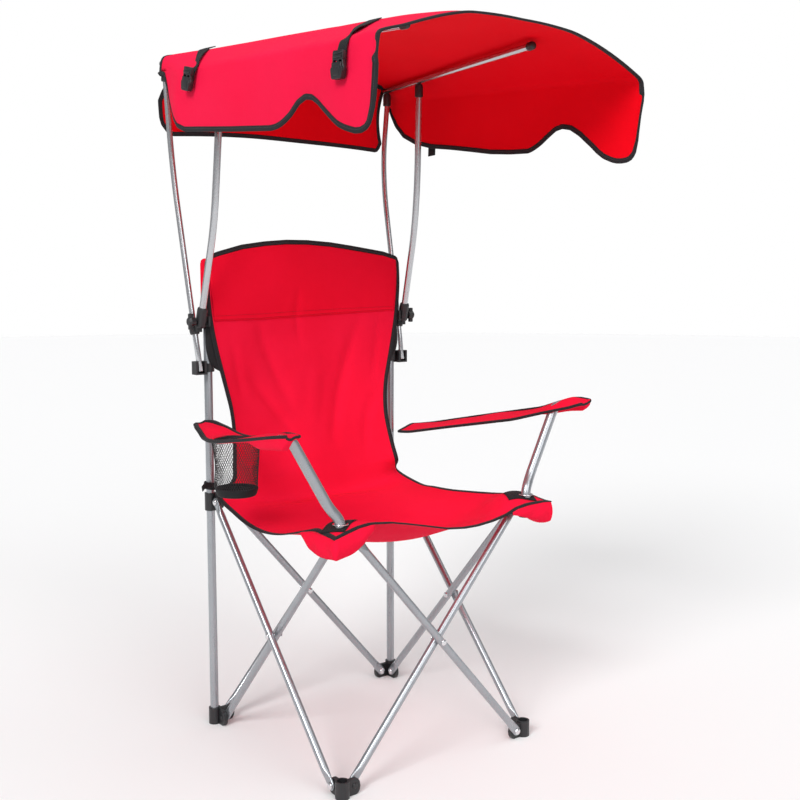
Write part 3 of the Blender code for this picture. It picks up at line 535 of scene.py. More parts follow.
def ring_sweep(name, spine, seg=28):
    """Like sweep, from (point, radius) pairs; the direction is read from points that differ."""
    pts = np.array([list(p) for p, _ in spine], float)
    rad = np.array([r for _, r in spine], float)
    distinct = [0]
    for i in range(1, len(pts)):
        if np.linalg.norm(pts[i] - pts[distinct[-1]]) > 1e-3:
            distinct.append(i)
    base = pts[distinct]
    tan_base = unit(np.gradient(base, axis=0))
    along = np.concatenate([[0], np.cumsum(np.linalg.norm(np.diff(base, axis=0), axis=1))])
    # direction at every ring: that of the nearest distinct point
    tans = []
    for p in pts:
        j = int(np.argmin(np.linalg.norm(base - p, axis=1)))
        tans.append(tan_base[j])
    t0 = tans[0]
    ref = np.array((0, 0, 1) if abs(t0[2]) < 0.9 else (1, 0, 0), float)
    u = unit(np.cross(t0, ref))
    verts, uvs = [], []
    for p, r, t in zip(pts, rad, tans):
        u = unit(u - t * (u @ t))
        v = np.cross(t, u)
        for k in range(seg):
            a = 2 * math.pi * k / seg
            verts.append(p + r * (math.cos(a) * u + math.sin(a) * v))
            uvs.append((r * a, float(np.linalg.norm(p - pts[0]))))
    faces = []
    for i in range(len(pts) - 1):
        for k in range(seg):
            k2 = (k + 1) % seg
            faces.append([i * seg + k, i * seg + k2, (i + 1) * seg + k2, (i + 1) * seg + k])
    faces.append(list(range(seg))[::-1])
    faces.append([(len(pts) - 1) * seg + k for k in range(seg)])
    return fix_normals(mesh_from(name, verts, faces, uvs))


# ---------------------------------------------------------------- the frame's numbers, as in the model
SPAN, SLOPE = 0.376, math.radians(48.6)
RISE = SPAN * math.tan(SLOPE)
BRACE = SPAN / math.cos(SLOPE)
Z_FOOT, Z_TOP = 0.024, 0.024 + SPAN * math.tan(math.radians(48.6))
PIVOT_X, PIVOT_YR, PIVOT_YF = 0.188, 0.180, -0.196
POST_X, POST_Y, POST_R, POST_TOP = 0.2185, 0.2015, 0.008, 0.905
FRONT_X, FRONT_Y, SIDE_X = 0.2115, -0.2175, 0.2115
OFFSET, BRACE_R, END_T, END_W = 0.0073, 0.007, 0.00275, 0.0085
FLANGE_T, GAP, PIN_R = 0.004, 0.0003, 0.003
POLE_R, ARM_R = 0.006, 0.009
HINGE_Y, HINGE_Z, CLIP_Z = 0.186, 0.795, 0.707
CANOPY_X = 0.282
SIDES = {"left": -1, "right": 1}
MID_Y, MID_Z = (PIVOT_YR + PIVOT_YF) / 2, (Z_FOOT + Z_TOP) / 2


def brace_mesh(name, foot, top, pin_axis):
    """Round tube pressed flat at both ends, with a soft shoulder between round and flat and a dimpled rivet seat."""
    seg = 28
    foot, top, y = (np.array(v, float) for v in (foot, top, pin_axis))
    x = unit(top - foot)
    z = np.cross(x, y)
    st = []
    for k in range(0, 7):
        a = math.pi / 2 * k / 6
        a = max(a, 0.12)
        st.append((-END_W * math.cos(a), END_W * math.sin(a), END_T * (0.72 + 0.28 * math.sin(a))))
    st += [(0.006, END_W, END_T), (0.0105, END_W, END_T)]
    for k in range(1, 9):
        f = k / 8
        g = f * f * (3 - 2 * f)
        st.append((0.0105 + 0.0225 * f, END_W + (BRACE_R - END_W) * g, END_T + (BRACE_R - END_T) * g))
    half = st + [(0.08, BRACE_R, BRACE_R), (0.16, BRACE_R, BRACE_R)]
    full = half + [(BRACE / 2 - 0.006, BRACE_R, BRACE_R), (BRACE / 2, BRACE_R, BRACE_R * 0.97), (BRACE / 2 + 0.006, BRACE_R, BRACE_R)] + [(BRACE - s, w, t) for s, w, t in reversed(half)]
    verts, uvs = [], []
    for s, w, t in full:
        for i in range(seg):
            a = 2 * math.pi * i / seg
            n = 2.0 + 1.6 * (1 - (t - END_T) / (BRACE_R - END_T)) if t < BRACE_R else 2.0
            ca, sa = math.cos(a), math.sin(a)
            cx = math.copysign(abs(ca) ** (2 / n), ca)
            cy = math.copysign(abs(sa) ** (2 / n), sa)
            verts.append(foot + x * s + y * (t * cy) + z * (w * cx))
            uvs.append((BRACE_R * a, s))
    faces = []
    for i in range(len(full) - 1):
        for k in range(seg):
            k2 = (k + 1) % seg
            faces.append([i * seg + k, i * seg + k2, (i + 1) * seg + k2, (i + 1) * seg + k])
    faces.append(list(range(seg))[::-1])
    faces.append([(len(full) - 1) * seg + k for k in range(seg)])
    return fix_normals(mesh_from(name, verts, faces, uvs))


def brace(name, foot, top, axis, body):
    return add_piece(name + "_tube", brace_mesh(name, foot, top, axis), GREY, body, [name], 50)


YAX, XAX = (0, 1, 0), (1, 0, 0)
yo, yi = POST_Y + OFFSET, POST_Y - OFFSET
brace("rear_brace_outer", (-PIVOT_X, yo, Z_FOOT), (PIVOT_X, yo, Z_TOP), YAX, "rear_brace_outer")
brace("rear_brace_inner", (PIVOT_X, yi, Z_FOOT), (-PIVOT_X, yi, Z_TOP), YAX, "rear_brace_inner")
fo, fi = FRONT_Y - OFFSET, FRONT_Y + OFFSET
brace("front_brace_inner", (-PIVOT_X, fi, Z_FOOT), (PIVOT_X, fi, Z_TOP), YAX, "front_brace_inner")
brace("front_brace_outer", (PIVOT_X, fo, Z_FOOT), (-PIVOT_X, fo, Z_TOP), YAX, "front_brace_outer")
for side, s in SIDES.items():
    xi, xo = s * (SIDE_X - OFFSET), s * (SIDE_X + OFFSET)
    brace(f"{side}_brace_inner", (xi, PIVOT_YR, Z_FOOT), (xi, PIVOT_YF, Z_TOP), XAX, f"{side}_brace_inner")
    brace(f"{side}_brace_outer", (xo, PIVOT_YF, Z_FOOT), (xo, PIVOT_YR, Z_TOP), XAX, f"{side}_brace_outer")


def turned_mesh(name, a, b, profile, seg=28):
    """Turned solid along a to b; profile is (distance along, radius)."""
    a, b = np.array(a, float), np.array(b, float)
    d = unit(b - a)
    ref = np.array((0, 0, 1) if abs(d[2]) < 0.9 else (1, 0, 0), float)
    u = unit(np.cross(d, ref))
    v = np.cross(d, u)
    verts = []
    for s, r in profile:
        for k in range(seg):
            t = 2 * math.pi * k / seg
            verts.append(a + d * s + r * (math.cos(t) * u + math.sin(t) * v))
    faces = []
    for i in range(len(profile) - 1):
        for k in range(seg):
            k2 = (k + 1) % seg
            faces.append([i * seg + k, i * seg + k2, (i + 1) * seg + k2, (i + 1) * seg + k])
    faces.append(list(range(seg))[::-1])
    faces.append([(len(profile) - 1) * seg + k for k in range(seg)])
    return fix_normals(mesh_from(name, verts, faces))


def dome(h, r, n=6, flip=False):
    """Profile of a low rivet head of height h and radius r, from its flat base to its top."""
    out = [(0.0, r * 0.96), (h * 0.15, r)]
    for k in range(1, n + 1):
        a = math.pi / 2 * k / n
        out.append((h * (0.15 + 0.85 * math.sin(a)), max(r * math.cos(a), r * 0.06)))
    return out


def rivet(name, at, axis, half, body, replaces, r=0.0056, shank=PIN_R, heads=(1, 1)):
    """Rivet through at: shank and two low domed heads, the faces of which lie `half` from the middle."""
    at, axis = np.array(at, float), unit(axis)
    prof = []
    lo = [(-(half + h), rr) for h, rr in reversed(dome(0.0022, r))] if heads[0] else [(-half, shank)]
    hi = [(half + h, rr) for h, rr in dome(0.0022, r)] if heads[1] else [(half, shank)]
    prof = lo + [(-half + 0.0001, shank), (half - 0.0001, shank)] + hi
    me = turned_mesh(name, at, at + axis, prof, 24)
    return add_piece(name, me, RIVET, body, replaces, 40)


rivet("middle_rivet_rear_visual", (0, POST_Y, MID_Z), YAX, OFFSET + BRACE_R + 0.0002, "rear_brace_outer", ["middle_rivet_rear"])
rivet("middle_rivet_front_visual", (0, FRONT_Y, MID_Z), YAX, OFFSET + BRACE_R + 0.0002, "front_brace_inner", ["middle_rivet_front"])
for side, s in SIDES.items():
    rivet(f"middle_rivet_{side}_visual", (s * SIDE_X, MID_Y, MID_Z), XAX, OFFSET + BRACE_R + 0.0002, f"{side}_brace_inner", [f"middle_rivet_{side}"])

# posts and arm tubes
for side, s in SIDES.items():
    post = tube_points([(s * POST_X, POST_Y, 0.0125), (s * POST_X, POST_Y, 0.46), (s * POST_X, POST_Y, POST_TOP)], POST_R, open_end=True)
    add_piece(f"rear_post_{side}_tube", ring_sweep("post", post, 36), GREY, f"rear_{side}_corner", [f"rear_post_{side}"], 50)
    arm = bent(
        [
            (s * FRONT_X, FRONT_Y, Z_TOP - 0.0126),
            (s * FRONT_X, FRONT_Y, 0.482),
            (s * 0.2300, -0.2090, 0.506),
            (s * 0.2985, -0.2043, 0.6240 if s < 0 else 0.6320),
            (s * 0.3260, -0.2120, 0.6250 if s < 0 else 0.6365),
        ],
        10,
        0.022,
    )
    add_piece(f"arm_tube_{side}_tube", ring_sweep("arm", tube_points(arm, ARM_R, open_end=True), 36), GREY, f"front_{side}_arm", [f"arm_tube_{side}"], 50)


def rail_x(y):
    f = (y + 0.285) / 0.547
    return 0.139 + (0.2600 - 0.139) * f


def roof_z(x, y):
    """Height of the roof: it rests on the rails, arches between them, falls to the sides and droops in front of the rails' tips."""
    t = (y + 0.41) / 0.655
    side_, rail, mid_ = 1.2180 + 0.0305 * t, 1.2795 + 0.0040 * t, 1.2865 + 0.0305 * t
    xr = rail_x(y)
    a = abs(x)
    droop = 0.014 * min(1.0, max(0.0, (-0.295 - y) / 0.12)) ** 2 * (1 - 0.4 * min(1.0, a / 0.28))
    if a <= xr:
        f = a / xr
        return mid_ + (rail - mid_) * (f * f) - droop
    f = min((a - xr) / (CANOPY_X - xr), 1.0)
    return rail + (side_ - rail) * (0.55 * f + 0.45 * f * f) - droop


def rail_z(y):
    return roof_z(rail_x(y), y) - 0.0015 - POLE_R - 0.0052


for side, s in SIDES.items():
    truss = f"canopy_truss_{side}"
    a = Vector((s * rail_x(-0.285), -0.285, rail_z(-0.285)))
    d = Vector((s * rail_x(0.276), 0.276, rail_z(-0.285) + (rail_z(0.262) - rail_z(-0.285)) * 0.561 / 0.547))
    add_piece(f"canopy_rail_{side}_tube", ring_sweep("rail", tube_points([a, a.lerp(d, 0.5), d], POLE_R, open_end=True), 32), POLE, truss, [f"canopy_rail_{side}"], 50)
    along = (a - d).normalized()
    tip = a + along * GAP
    prof = [(0, 0.0070), (0.0003, 0.0074), (0.0090, 0.0074), (0.0098, 0.0072)] + [(0.0098 + 0.0056 * math.sin(t), 0.0072 - 0.0048 * (1 - math.cos(t))) for t in (math.pi / 2 * k / 6 for k in range(1, 7))]
    add_piece(f"rail_end_cap_{side}_visual", turned_mesh("cap", tip, tip + along, prof, 28), BLACK, truss, [f"rail_end_cap_{side}"], 40)
    c, e = (a.lerp(d, (y - a.y) / (d.y - a.y)) for y in (0.118, 0.2655))
    for what, p in (("front", c), ("rear", e)):
        prof = [(0, 0.0072), (0.0004, 0.0080), (0.0020, 0.0084), (0.0060, 0.0084), (0.0064, 0.0080), (0.0074, 0.0080), (0.0078, 0.0084), (0.0200, 0.0084), (0.0235, 0.0076), (0.0262, 0.0058)]
        add_piece(f"rail_joint_{what}_{side}_visual", turned_mesh("joint", (p.x, p.y, p.z - POLE_R - GAP - 0.026), (p.x, p.y, p.z), prof, 28), BLACK, truss, [f"rail_joint_{what}_{side}"], 40)
    drop = POLE_R + GAP + 0.026 + 0.0002
    thick = bent([(s * 0.2405, HINGE_Y - 0.0035, HINGE_Z + 0.0100), (s * 0.2350, 0.1400, 0.9720), (s * 0.2335, 0.1290, 1.0700), (c.x, c.y, c.z - drop)], 8, 0.045)
    add_piece(f"canopy_pole_thick_{side}_tube", ring_sweep("thick", tube_points(thick, POLE_R + 0.0005), 32), POLE, truss, [f"canopy_pole_thick_{side}"], 50)
    thin = bent([(s * 0.2412, 0.1900, 0.7010), (s * 0.2450, 0.2115, 0.8100), (s * 0.2500, 0.2600, 1.0500), (s * 0.2530, 0.2680, 1.1300), (e.x, e.y, e.z - drop)], 8, 0.045)
    add_piece(f"canopy_pole_thin_{side}_tube", ring_sweep("thin", tube_points(thin, 0.0054, open_start=True), 28), POLE, truss, [f"canopy_pole_thin_{side}"], 50)

# ---------------------------------------------------------------- moulded pieces keep their own shape; finish only
for name, ob in frame["nodes"].items():
    if ob.hide_render:
        continue
    ob.data.materials.clear()
    ob.data.materials.append(BLACK)
    ob.data.shade_smooth()
    ob.data.set_sharp_from_angle(angle=math.radians(38))
    edge = ob.modifiers.new("edge", "BEVEL")
    edge.width, edge.segments, edge.limit_method, edge.angle_limit = 0.0006, 2, "ANGLE", math.radians(40)
    edge.use_clamp_overlap = True

SOFT = 0.0016  # thickness of the single cloth


# ---------------------------------------------------------------- seat and back in one cloth
def smooth_rows(keys, n):
    """Centripetal spline through key rows (k, m, 3), resampled to n rows at even spacing along the middle column."""
    keys = np.asarray(keys, float)
    k = len(keys)
    ext = np.concatenate([2 * keys[:1] - keys[1:2], keys, 2 * keys[-1:] - keys[-2:-1]])
    out, length = [], []
    per = 24
    for i in range(1, k):
        p0, p1, p2, p3 = ext[i - 1], ext[i], ext[i + 1], ext[i + 2]
        for q in range(per):
            t = q / per
            out.append(0.5 * ((2 * p1) + (-p0 + p2) * t + (2 * p0 - 5 * p1 + 4 * p2 - p3) * t * t + (-p0 + 3 * p1 - 3 * p2 + p3) * t**3))
    out.append(keys[-1])
    out = np.array(out)
    midc = out[:, out.shape[1] // 2]
    s = np.concatenate([[0], np.cumsum(np.linalg.norm(np.diff(midc, axis=0), axis=1))])
    want = np.linspace(0, s[-1], n)
    res = np.empty((n,) + out.shape[1:])
    for j in range(out.shape[1]):
        for c in range(3):
            res[:, j, c] = np.interp(want, s, out[:, j, c])
    return res, want / s[-1]


def back_half(z):
    return float(np.interp(z, [0.485, 0.51, 0.55, 0.585, 0.62, 0.66, 0.70, 0.745, 0.79, 0.83, 0.90, 0.95], [0.204, 0.197, 0.190, 0.1855, 0.186, 0.193, 0.203, 0.2145, 0.2235, 0.2280, 0.2330, 0.2340]))


def back_y(z):
    return float(np.interp(z, [0.485, 0.52, 0.58, 0.66, 0.76, 0.86, 0.95], [0.150, 0.155, 0.167, 0.179, 0.184, 0.186, 0.187]))


LEFT_EDGE = ([-0.248, -0.21, -0.176, -0.15, -0.12, -0.05, 0.0, 0.05, 0.10, 0.15, 0.19], [0.4600, 0.4605, 0.4610, 0.4580, 0.4480, 0.4300, 0.4230, 0.4250, 0.4380, 0.4500, 0.4630])
RIGHT_EDGE = ([-0.250, -0.240, -0.219, -0.187, -0.156, -0.126, -0.08, 0.0, 0.10, 0.15, 0.19], [0.4620, 0.4660, 0.4725, 0.4700, 0.4640, 0.4590, 0.4550, 0.4490, 0.4460, 0.4520, 0.4640])
FRONT_EDGE = (
    [-0.2446, -0.2189, -0.1948, -0.1704, -0.156, -0.125, -0.09, -0.051, 0.0, 0.038, 0.069, 0.105, 0.1423, 0.1648, 0.1916, 0.2306, 0.2524],
    [0.4600, 0.4668, 0.4728, 0.4756, 0.4750, 0.4720, 0.4650, 0.4560, 0.4440, 0.4400, 0.4398, 0.4430, 0.4500, 0.4580, 0.4612, 0.4620, 0.4602],
)

U = np.linspace(-1, 1, 97)
keys = []
for v in (0.0, 0.03, 0.065, 0.11, 0.18, 0.28, 0.38, 0.50, 0.62, 0.74, 0.86):
    y = -0.245 + 0.405 * v
    half = 0.226 + 0.0215 * (1 - v) ** 2 - 0.008 * math.sin(math.pi * v)
    aside = 0.004 * (1 - v) ** 2
    row = []
    for u in U:
        le, re = np.interp(y, *LEFT_EDGE), np.interp(y, *RIGHT_EDGE)
        edge = le + (re - le) * (u + 1) / 2
        middle = 0.4440 - 0.047 * math.sin(math.pi * min(1.0, v**0.75)) ** 2 + 0.006 * v**4
        k = (1 - u * u) ** 1.25
        z = edge + (middle - edge) * k
        f = math.exp(-((v / 0.13) ** 2))
        z = z * (1 - f) + np.interp(u * half + aside, *FRONT_EDGE) * f
        # the cloth stands up around the tubes at the two front corners
        for sx in (-1, 1):
            d2 = ((u * half + aside - sx * 0.1980) / 0.046) ** 2 + ((y + 0.1850) / 0.046) ** 2
            z += 0.0165 * math.exp(-d2) * (1 if v < 0.3 else 0) * (1 - abs(u) ** 12) * (1 - math.exp(-((v / 0.035) ** 2)))
        row.append((u * half + aside, y, z))
    keys.append(row)
# the rear corners reach out to the posts
row = []
for u in U:
    ear = abs(u) ** 9
    row.append((math.copysign(0.212 * abs(u) + 0.008 * ear, u), 0.1480 + 0.030 * ear, 0.4640 - 0.022 * (1 - u * u) + 0.002 * ear))
keys.append(row)
TOP_LINE = ([-0.2353, -0.2330, -0.2270, -0.2054, -0.1513, -0.1000, -0.0500, 0.0, 0.0550, 0.1066, 0.1915, 0.2250, 0.2320, 0.2360], [0.9010, 0.9110, 0.9165, 0.9235, 0.9371, 0.9440, 0.9478, 0.9478, 0.9445, 0.9385, 0.9272, 0.9190, 0.9140, 0.9020])
for i, f in enumerate((0.055, 0.12, 0.20, 0.28, 0.36, 0.44, 0.52, 0.60, 0.68, 0.76, 0.84, 0.92, 1.0)):
    row = []
    for u in U:
        top = float(np.interp(u * 0.2350, *TOP_LINE))
        z = 0.470 + (top - 0.470) * f
        low = 0.474 + (0.905 - 0.474) * f
        sag = 0.022 * (1 - u * u) * math.sin(math.pi * min(1, 0.18 + f * 0.92))
        x = u * back_half(low)
        # the top corners are cut round
        if f > 0.9:
            x = u * (back_half(low) - 0.004 * (f - 0.9) / 0.1 * abs(u) ** 6)
        row.append((x, back_y(z) + max(0.0, sag), z))
    keys.append(row)
sling, along_sling = smooth_rows(keys, 260)


def crease(p, line, depth, width, out):
    """Soft fold along a line of (x, z) points on the back, or (x, y) points on the seat; depth is along the normal."""
    line = np.array(line, float)
    q = p[..., [0, 2]]
    best = np.full(p.shape[:2], 1e9)
    at = np.zeros(p.shape[:2])
    total = np.concatenate([[0], np.cumsum(np.linalg.norm(np.diff(line, axis=0), axis=1))])
    for i, (a, b) in enumerate(zip(line, line[1:])):
        d = b - a
        t = np.clip(((q - a) @ d) / (d @ d), 0, 1)
        dist = np.linalg.norm(q - (a + t[..., None] * d), axis=-1)
        closer = dist < best
        best = np.where(closer, dist, best)
        at = np.where(closer, (total[i] + t * math.sqrt(d @ d)) / total[-1], at)
    fade = np.sin(np.pi * np.clip(at * 0.94 + 0.03, 0, 1)) ** 0.7
    out += depth * fade * np.exp(-((best / width) ** 2))


rng = np.random.default_rng(7)


def ripple(shape, cells, amount, seed):
    """Smooth random unevenness over a grid."""
    g = np.random.default_rng(seed).normal(size=(cells[0] + 3, cells[1] + 3))
    iu = np.linspace(0, cells[0], shape[0])
    iv = np.linspace(0, cells[1], shape[1])

    def w(t):
        return np.array([(1 - t) ** 3, 3 * t**3 - 6 * t**2 + 4, -3 * t**3 + 3 * t**2 + 3 * t + 1, t**3]) / 6

    ku, kv = np.minimum(iu.astype(int), cells[0] - 1), np.minimum(iv.astype(int), cells[1] - 1)
    wu, wv = w(iu - ku), w(iv - kv)
    out = np.zeros(shape)
    for a in range(4):
        for b in range(4):
            out += wu[a][:, None] * wv[b][None, :] * g[(ku + a)[:, None], (kv + b)[None, :]]
    return out * amount


folds = np.zeros(sling.shape[:2])
on_back = np.clip((sling[..., 2] - 0.50) / 0.06, 0, 1)
BACK_FOLDS = [
    ([(-0.115, 0.800), (-0.095, 0.740), (-0.060, 0.670), (-0.030, 0.610)], -0.0050, 0.014),
    ([(-0.140, 0.700), (-0.095, 0.640), (-0.055, 0.590), (-0.020, 0.540)], -0.0048, 0.013),
    ([(0.135, 0.800), (0.110, 0.730), (0.085, 0.650), (0.060, 0.570), (0.050, 0.520)], -0.0052, 0.014),
    ([(-0.020, 0.860), (-0.022, 0.800), (-0.010, 0.740)], -0.0026, 0.009),
    ([(0.180, 0.800), (0.172, 0.730), (0.160, 0.670)], -0.0030, 0.010),
    ([(0.165, 0.640), (0.140, 0.590), (0.130, 0.530), (0.120, 0.490)], -0.0045, 0.013),
    ([(0.030, 0.700), (0.020, 0.640), (0.010, 0.580)], 0.0028, 0.016),
    ([(-0.175, 0.760), (-0.160, 0.690), (-0.150, 0.640)], -0.0025, 0.010),
    ([(-0.150, 0.560), (-0.110, 0.530), (-0.060, 0.510)], -0.0034, 0.011),
]
for line, depth, width in BACK_FOLDS:
    crease(sling, line, depth, width, folds)
folds = folds * on_back
edge_calm = 1 - 0.75 * np.abs(U)[None, :] ** 6
folds += ripple(sling.shape[:2], (9, 6), 0.0040, 3) * edge_calm
folds += ripple(sling.shape[:2], (26, 9), 0.0011, 4) * edge_calm
nr = grid_normals(sling)
sling_n = nr if nr[130, 48, 1] < 0 or nr[130, 48, 2] > 0 else -nr
ends = np.minimum(1, np.minimum(np.arange(260), 259 - np.arange(260)) / 14.0)[:, None]
sling = sling + sling_n * (folds * ends)[..., None]

# three lengths, each of which follows its own part of the frame as it folds: over the front brackets, between the sliders, and the back
CUT_A = int(np.argmin(np.abs(sling[:120, 48, 1] + 0.090)))
CUT_B = int(np.argmin(np.abs(sling[:, 48, 1] - 0.148) + np.abs(sling[:, 48, 2] - 0.442)))
whole_n, whole_uv = grid_normals(sling), cut_uv(sling)
ROWS, COLS = sling.shape[:2]
LENGTHS = {"front": (0, CUT_A, "front_left_arm"), "middle": (CUT_A, CUT_B, "slider_left"), "back": (CUT_B, ROWS - 1, "rear_left_corner")}
sling_objs = {}
for what, (r0, r1, body) in LENGTHS.items():
    me = sheet_mesh(f"sling_{what}", sling[r0 : r1 + 1], SOFT, whole_n[r0 : r1 + 1], whole_uv[r0 : r1 + 1])
    sling_objs[what] = add_piece(f"sling_{what}_cloth", me, RED, body, ["seat_fabric", "back_fabric"] if what == "back" else (), 60)
EDGES = {
    "front": [i * COLS for i in range(CUT_A, 0, -1)] + list(range(COLS)) + [i * COLS + COLS - 1 for i in range(1, CUT_A + 1)],
    "middle_left": [i * COLS for i in range(CUT_A, CUT_B + 1)],
    "middle_right": [i * COLS + COLS - 1 for i in range(CUT_A, CUT_B + 1)],
    "back": [i * COLS for i in range(CUT_B, ROWS)] + [(ROWS - 1) * COLS + j for j in range(1, COLS)] + [i * COLS + COLS - 1 for i in range(ROWS - 2, CUT_B - 1, -1)],
}
for what, ring_ in EDGES.items():
    pts, nrm, inn = edge_frames(sling, ring_)
    tape_round(f"sling_{what}_binding", pts, nrm, inn, LENGTHS[what.split("_")[0]][2], closed=False)

# the second layer over the head: a band sewn along its lower edge, inside the binding
def seam_z(x):
    return 0.7945 + 0.036 * (x + 0.10) * (x > -0.10)


band_cols = list(range(2, 95))
band, band_n = [], []
for j in band_cols:
    zc = sling[150:, j, 2]
    r0 = 150 + float(np.interp(seam_z(sling[200, j, 0]), zc, np.arange(len(zc))))
    r = np.linspace(r0, 256.6, 44)
    ids = np.arange(260)
    band.append(np.stack([np.interp(r, ids, sling[:, j, c]) for c in range(3)], -1))
    band_n.append(np.stack([np.interp(r, ids, sling_n[:, j, c]) for c in range(3)], -1))
band, band_n = np.array(band).transpose(1, 0, 2), unit(np.array(band_n).transpose(1, 0, 2))
puff = 0.0017 + 0.0012 * np.sin(np.pi * np.linspace(0, 1, 44))[:, None] * np.ones((1, len(band_cols)))
puff += 0.0004 * np.sin(0.9 * np.arange(len(band_cols)))[None, :] * np.exp(-np.arange(44) / 5.0)[:, None]
band = band + band_n * puff[..., None]
# the head band gets the darker red: painted shade of the doubled cloth
band_obj = add_piece("head_band_cloth", sheet_mesh("head_band", band, 0.0012), RED_DOUBLE_PAINTED_SHADE, "rear_left_corner")


def strands(name, verts, pairs, r, seg=4):
    """Thin threads between pairs of points, each a closed prism."""
    out, faces = [], []
    for a, b in pairs:
        p, q = verts[a], verts[b]
        d = unit(q - p)
        ref = np.array((0, 0, 1.0)) if abs(d[2]) < 0.9 else np.array((1.0, 0, 0))
        u = unit(np.cross(d, ref))
        v = np.cross(d, u)
        k = len(out)
        for e in (p - d * r * 0.4, q + d * r * 0.4):
            for t in range(seg):
                an = 2 * math.pi * (t + 0.5) / seg
                out.append(e + r * (math.cos(an) * u + math.sin(an) * v))
        for t in range(seg):
            t2 = (t + 1) % seg
            faces.append([k + t, k + t2, k + seg + t2, k + seg + t])
        faces.append([k + t for t in range(seg)][::-1])
        faces.append([k + seg + t for t in range(seg)])
    return mesh_from(name, out, faces)


def stitches(name, line, body, mat, pitch=0.0042, r=0.00034, slot="red_fabric"):
    """Rows of lock stitches along lines of points that lie on the cloth."""
    vs_, pr = [], []
    for pts_ in line:
        pts_ = np.asarray(pts_, float)
        s_ = np.concatenate([[0], np.cumsum(np.linalg.norm(np.diff(pts_, axis=0), axis=1))])
        for k in range(int(s_[-1] / pitch)):
            two = [[float(np.interp(t, s_, pts_[:, c])) for c in range(3)] for t in (k * pitch, k * pitch + pitch * 0.68)]
            vs_ += two
            pr.append((len(vs_) - 2, len(vs_) - 1))
    return add_piece(name, fix_normals(strands(name, np.array(vs_), pr, r)), mat, body, (), 30)


THREAD = tape("red_sewing_thread", (0.42, 0.003, 0.016), (0.30, 0.002, 0.010), 0.0006, 0.6, False)
row_a, row_b = band[1] + band_n[1] * 0.0009, band[3] * 0.5 + band[4] * 0.5 + band_n[3] * 0.0009
stitches("head_band_stitches", [row_a, row_b], "rear_left_corner", THREAD)

# ---------------------------------------------------------------- canopy: roof and both hanging sides in one cloth
DROP_LEFT = (
    [-0.4145, -0.4130, -0.4090, -0.4060, -0.3980, -0.3890, -0.3750, -0.3600, -0.3460, -0.3310, -0.3160, -0.3030, -0.2900, -0.2770, -0.2640, -0.2480, -0.2300, -0.2100, -0.1870, -0.1720, -0.1580, -0.1440, -0.1290, -0.0030, 0.1510, 0.1810, 0.2030, 0.2210, 0.2350, 0.2420, 0.2450],
    [1.1800, 1.1540, 1.1320, 1.1210, 1.1010, 1.0930, 1.0890, 1.0895, 1.0930, 1.0975, 1.1035, 1.1115, 1.1210, 1.1305, 1.1405, 1.1495, 1.1525, 1.1465, 1.1305, 1.1235, 1.1185, 1.1158, 1.1150, 1.1250, 1.1390, 1.1490, 1.1650, 1.1900, 1.2280, 1.2460, 1.2560],
)
DROP_RIGHT = (
    [-0.4145, -0.4100, -0.4065, -0.4050, -0.3950, -0.3850, -0.3720, -0.3600, -0.3500, -0.3310, -0.3160, -0.3020, -0.2870, -0.2730, -0.2510, -0.2310, -0.2140, -0.1910, -0.1780, -0.1650, -0.1530, -0.1420, -0.0930, -0.0360, 0.0220, 0.0830, 0.1470, 0.1960, 0.2340, 0.2600, 0.2760, 0.2850, 0.2890, 0.2910],
    [1.1800, 1.1500, 1.1200, 1.0990, 1.0835, 1.0790, 1.0780, 1.0790, 1.0815, 1.0890, 1.0990, 1.1110, 1.1225, 1.1335, 1.1460, 1.1500, 1.1470, 1.1340, 1.1260, 1.1200, 1.1155, 1.1130, 1.1150, 1.1200, 1.1290, 1.1380, 1.1460, 1.1580, 1.1750, 1.1990, 1.2240, 1.2420, 1.2540, 1.2620],
)
# the rear ends of the two sides differ: the right one hangs farther back
REAR_END_AT = {-1: 0.2680, 1: 0.2905}
FRONT_LIFT = ([-0.2830, -0.2600, -0.2350, -0.1900, -0.1100, 0.0], [0.0115, 0.0080, 0.0035, 0.0020, 0.0020, 0.0])


def cloth_z(x, y):
    """The roof with the tauter left front corner of the sewn cover."""
    t = min(1.0, max(0.0, (-0.315 - y) / 0.085))
    return roof_z(x, y) + float(np.interp(x, *FRONT_LIFT)) * t * t * (3 - 2 * t)


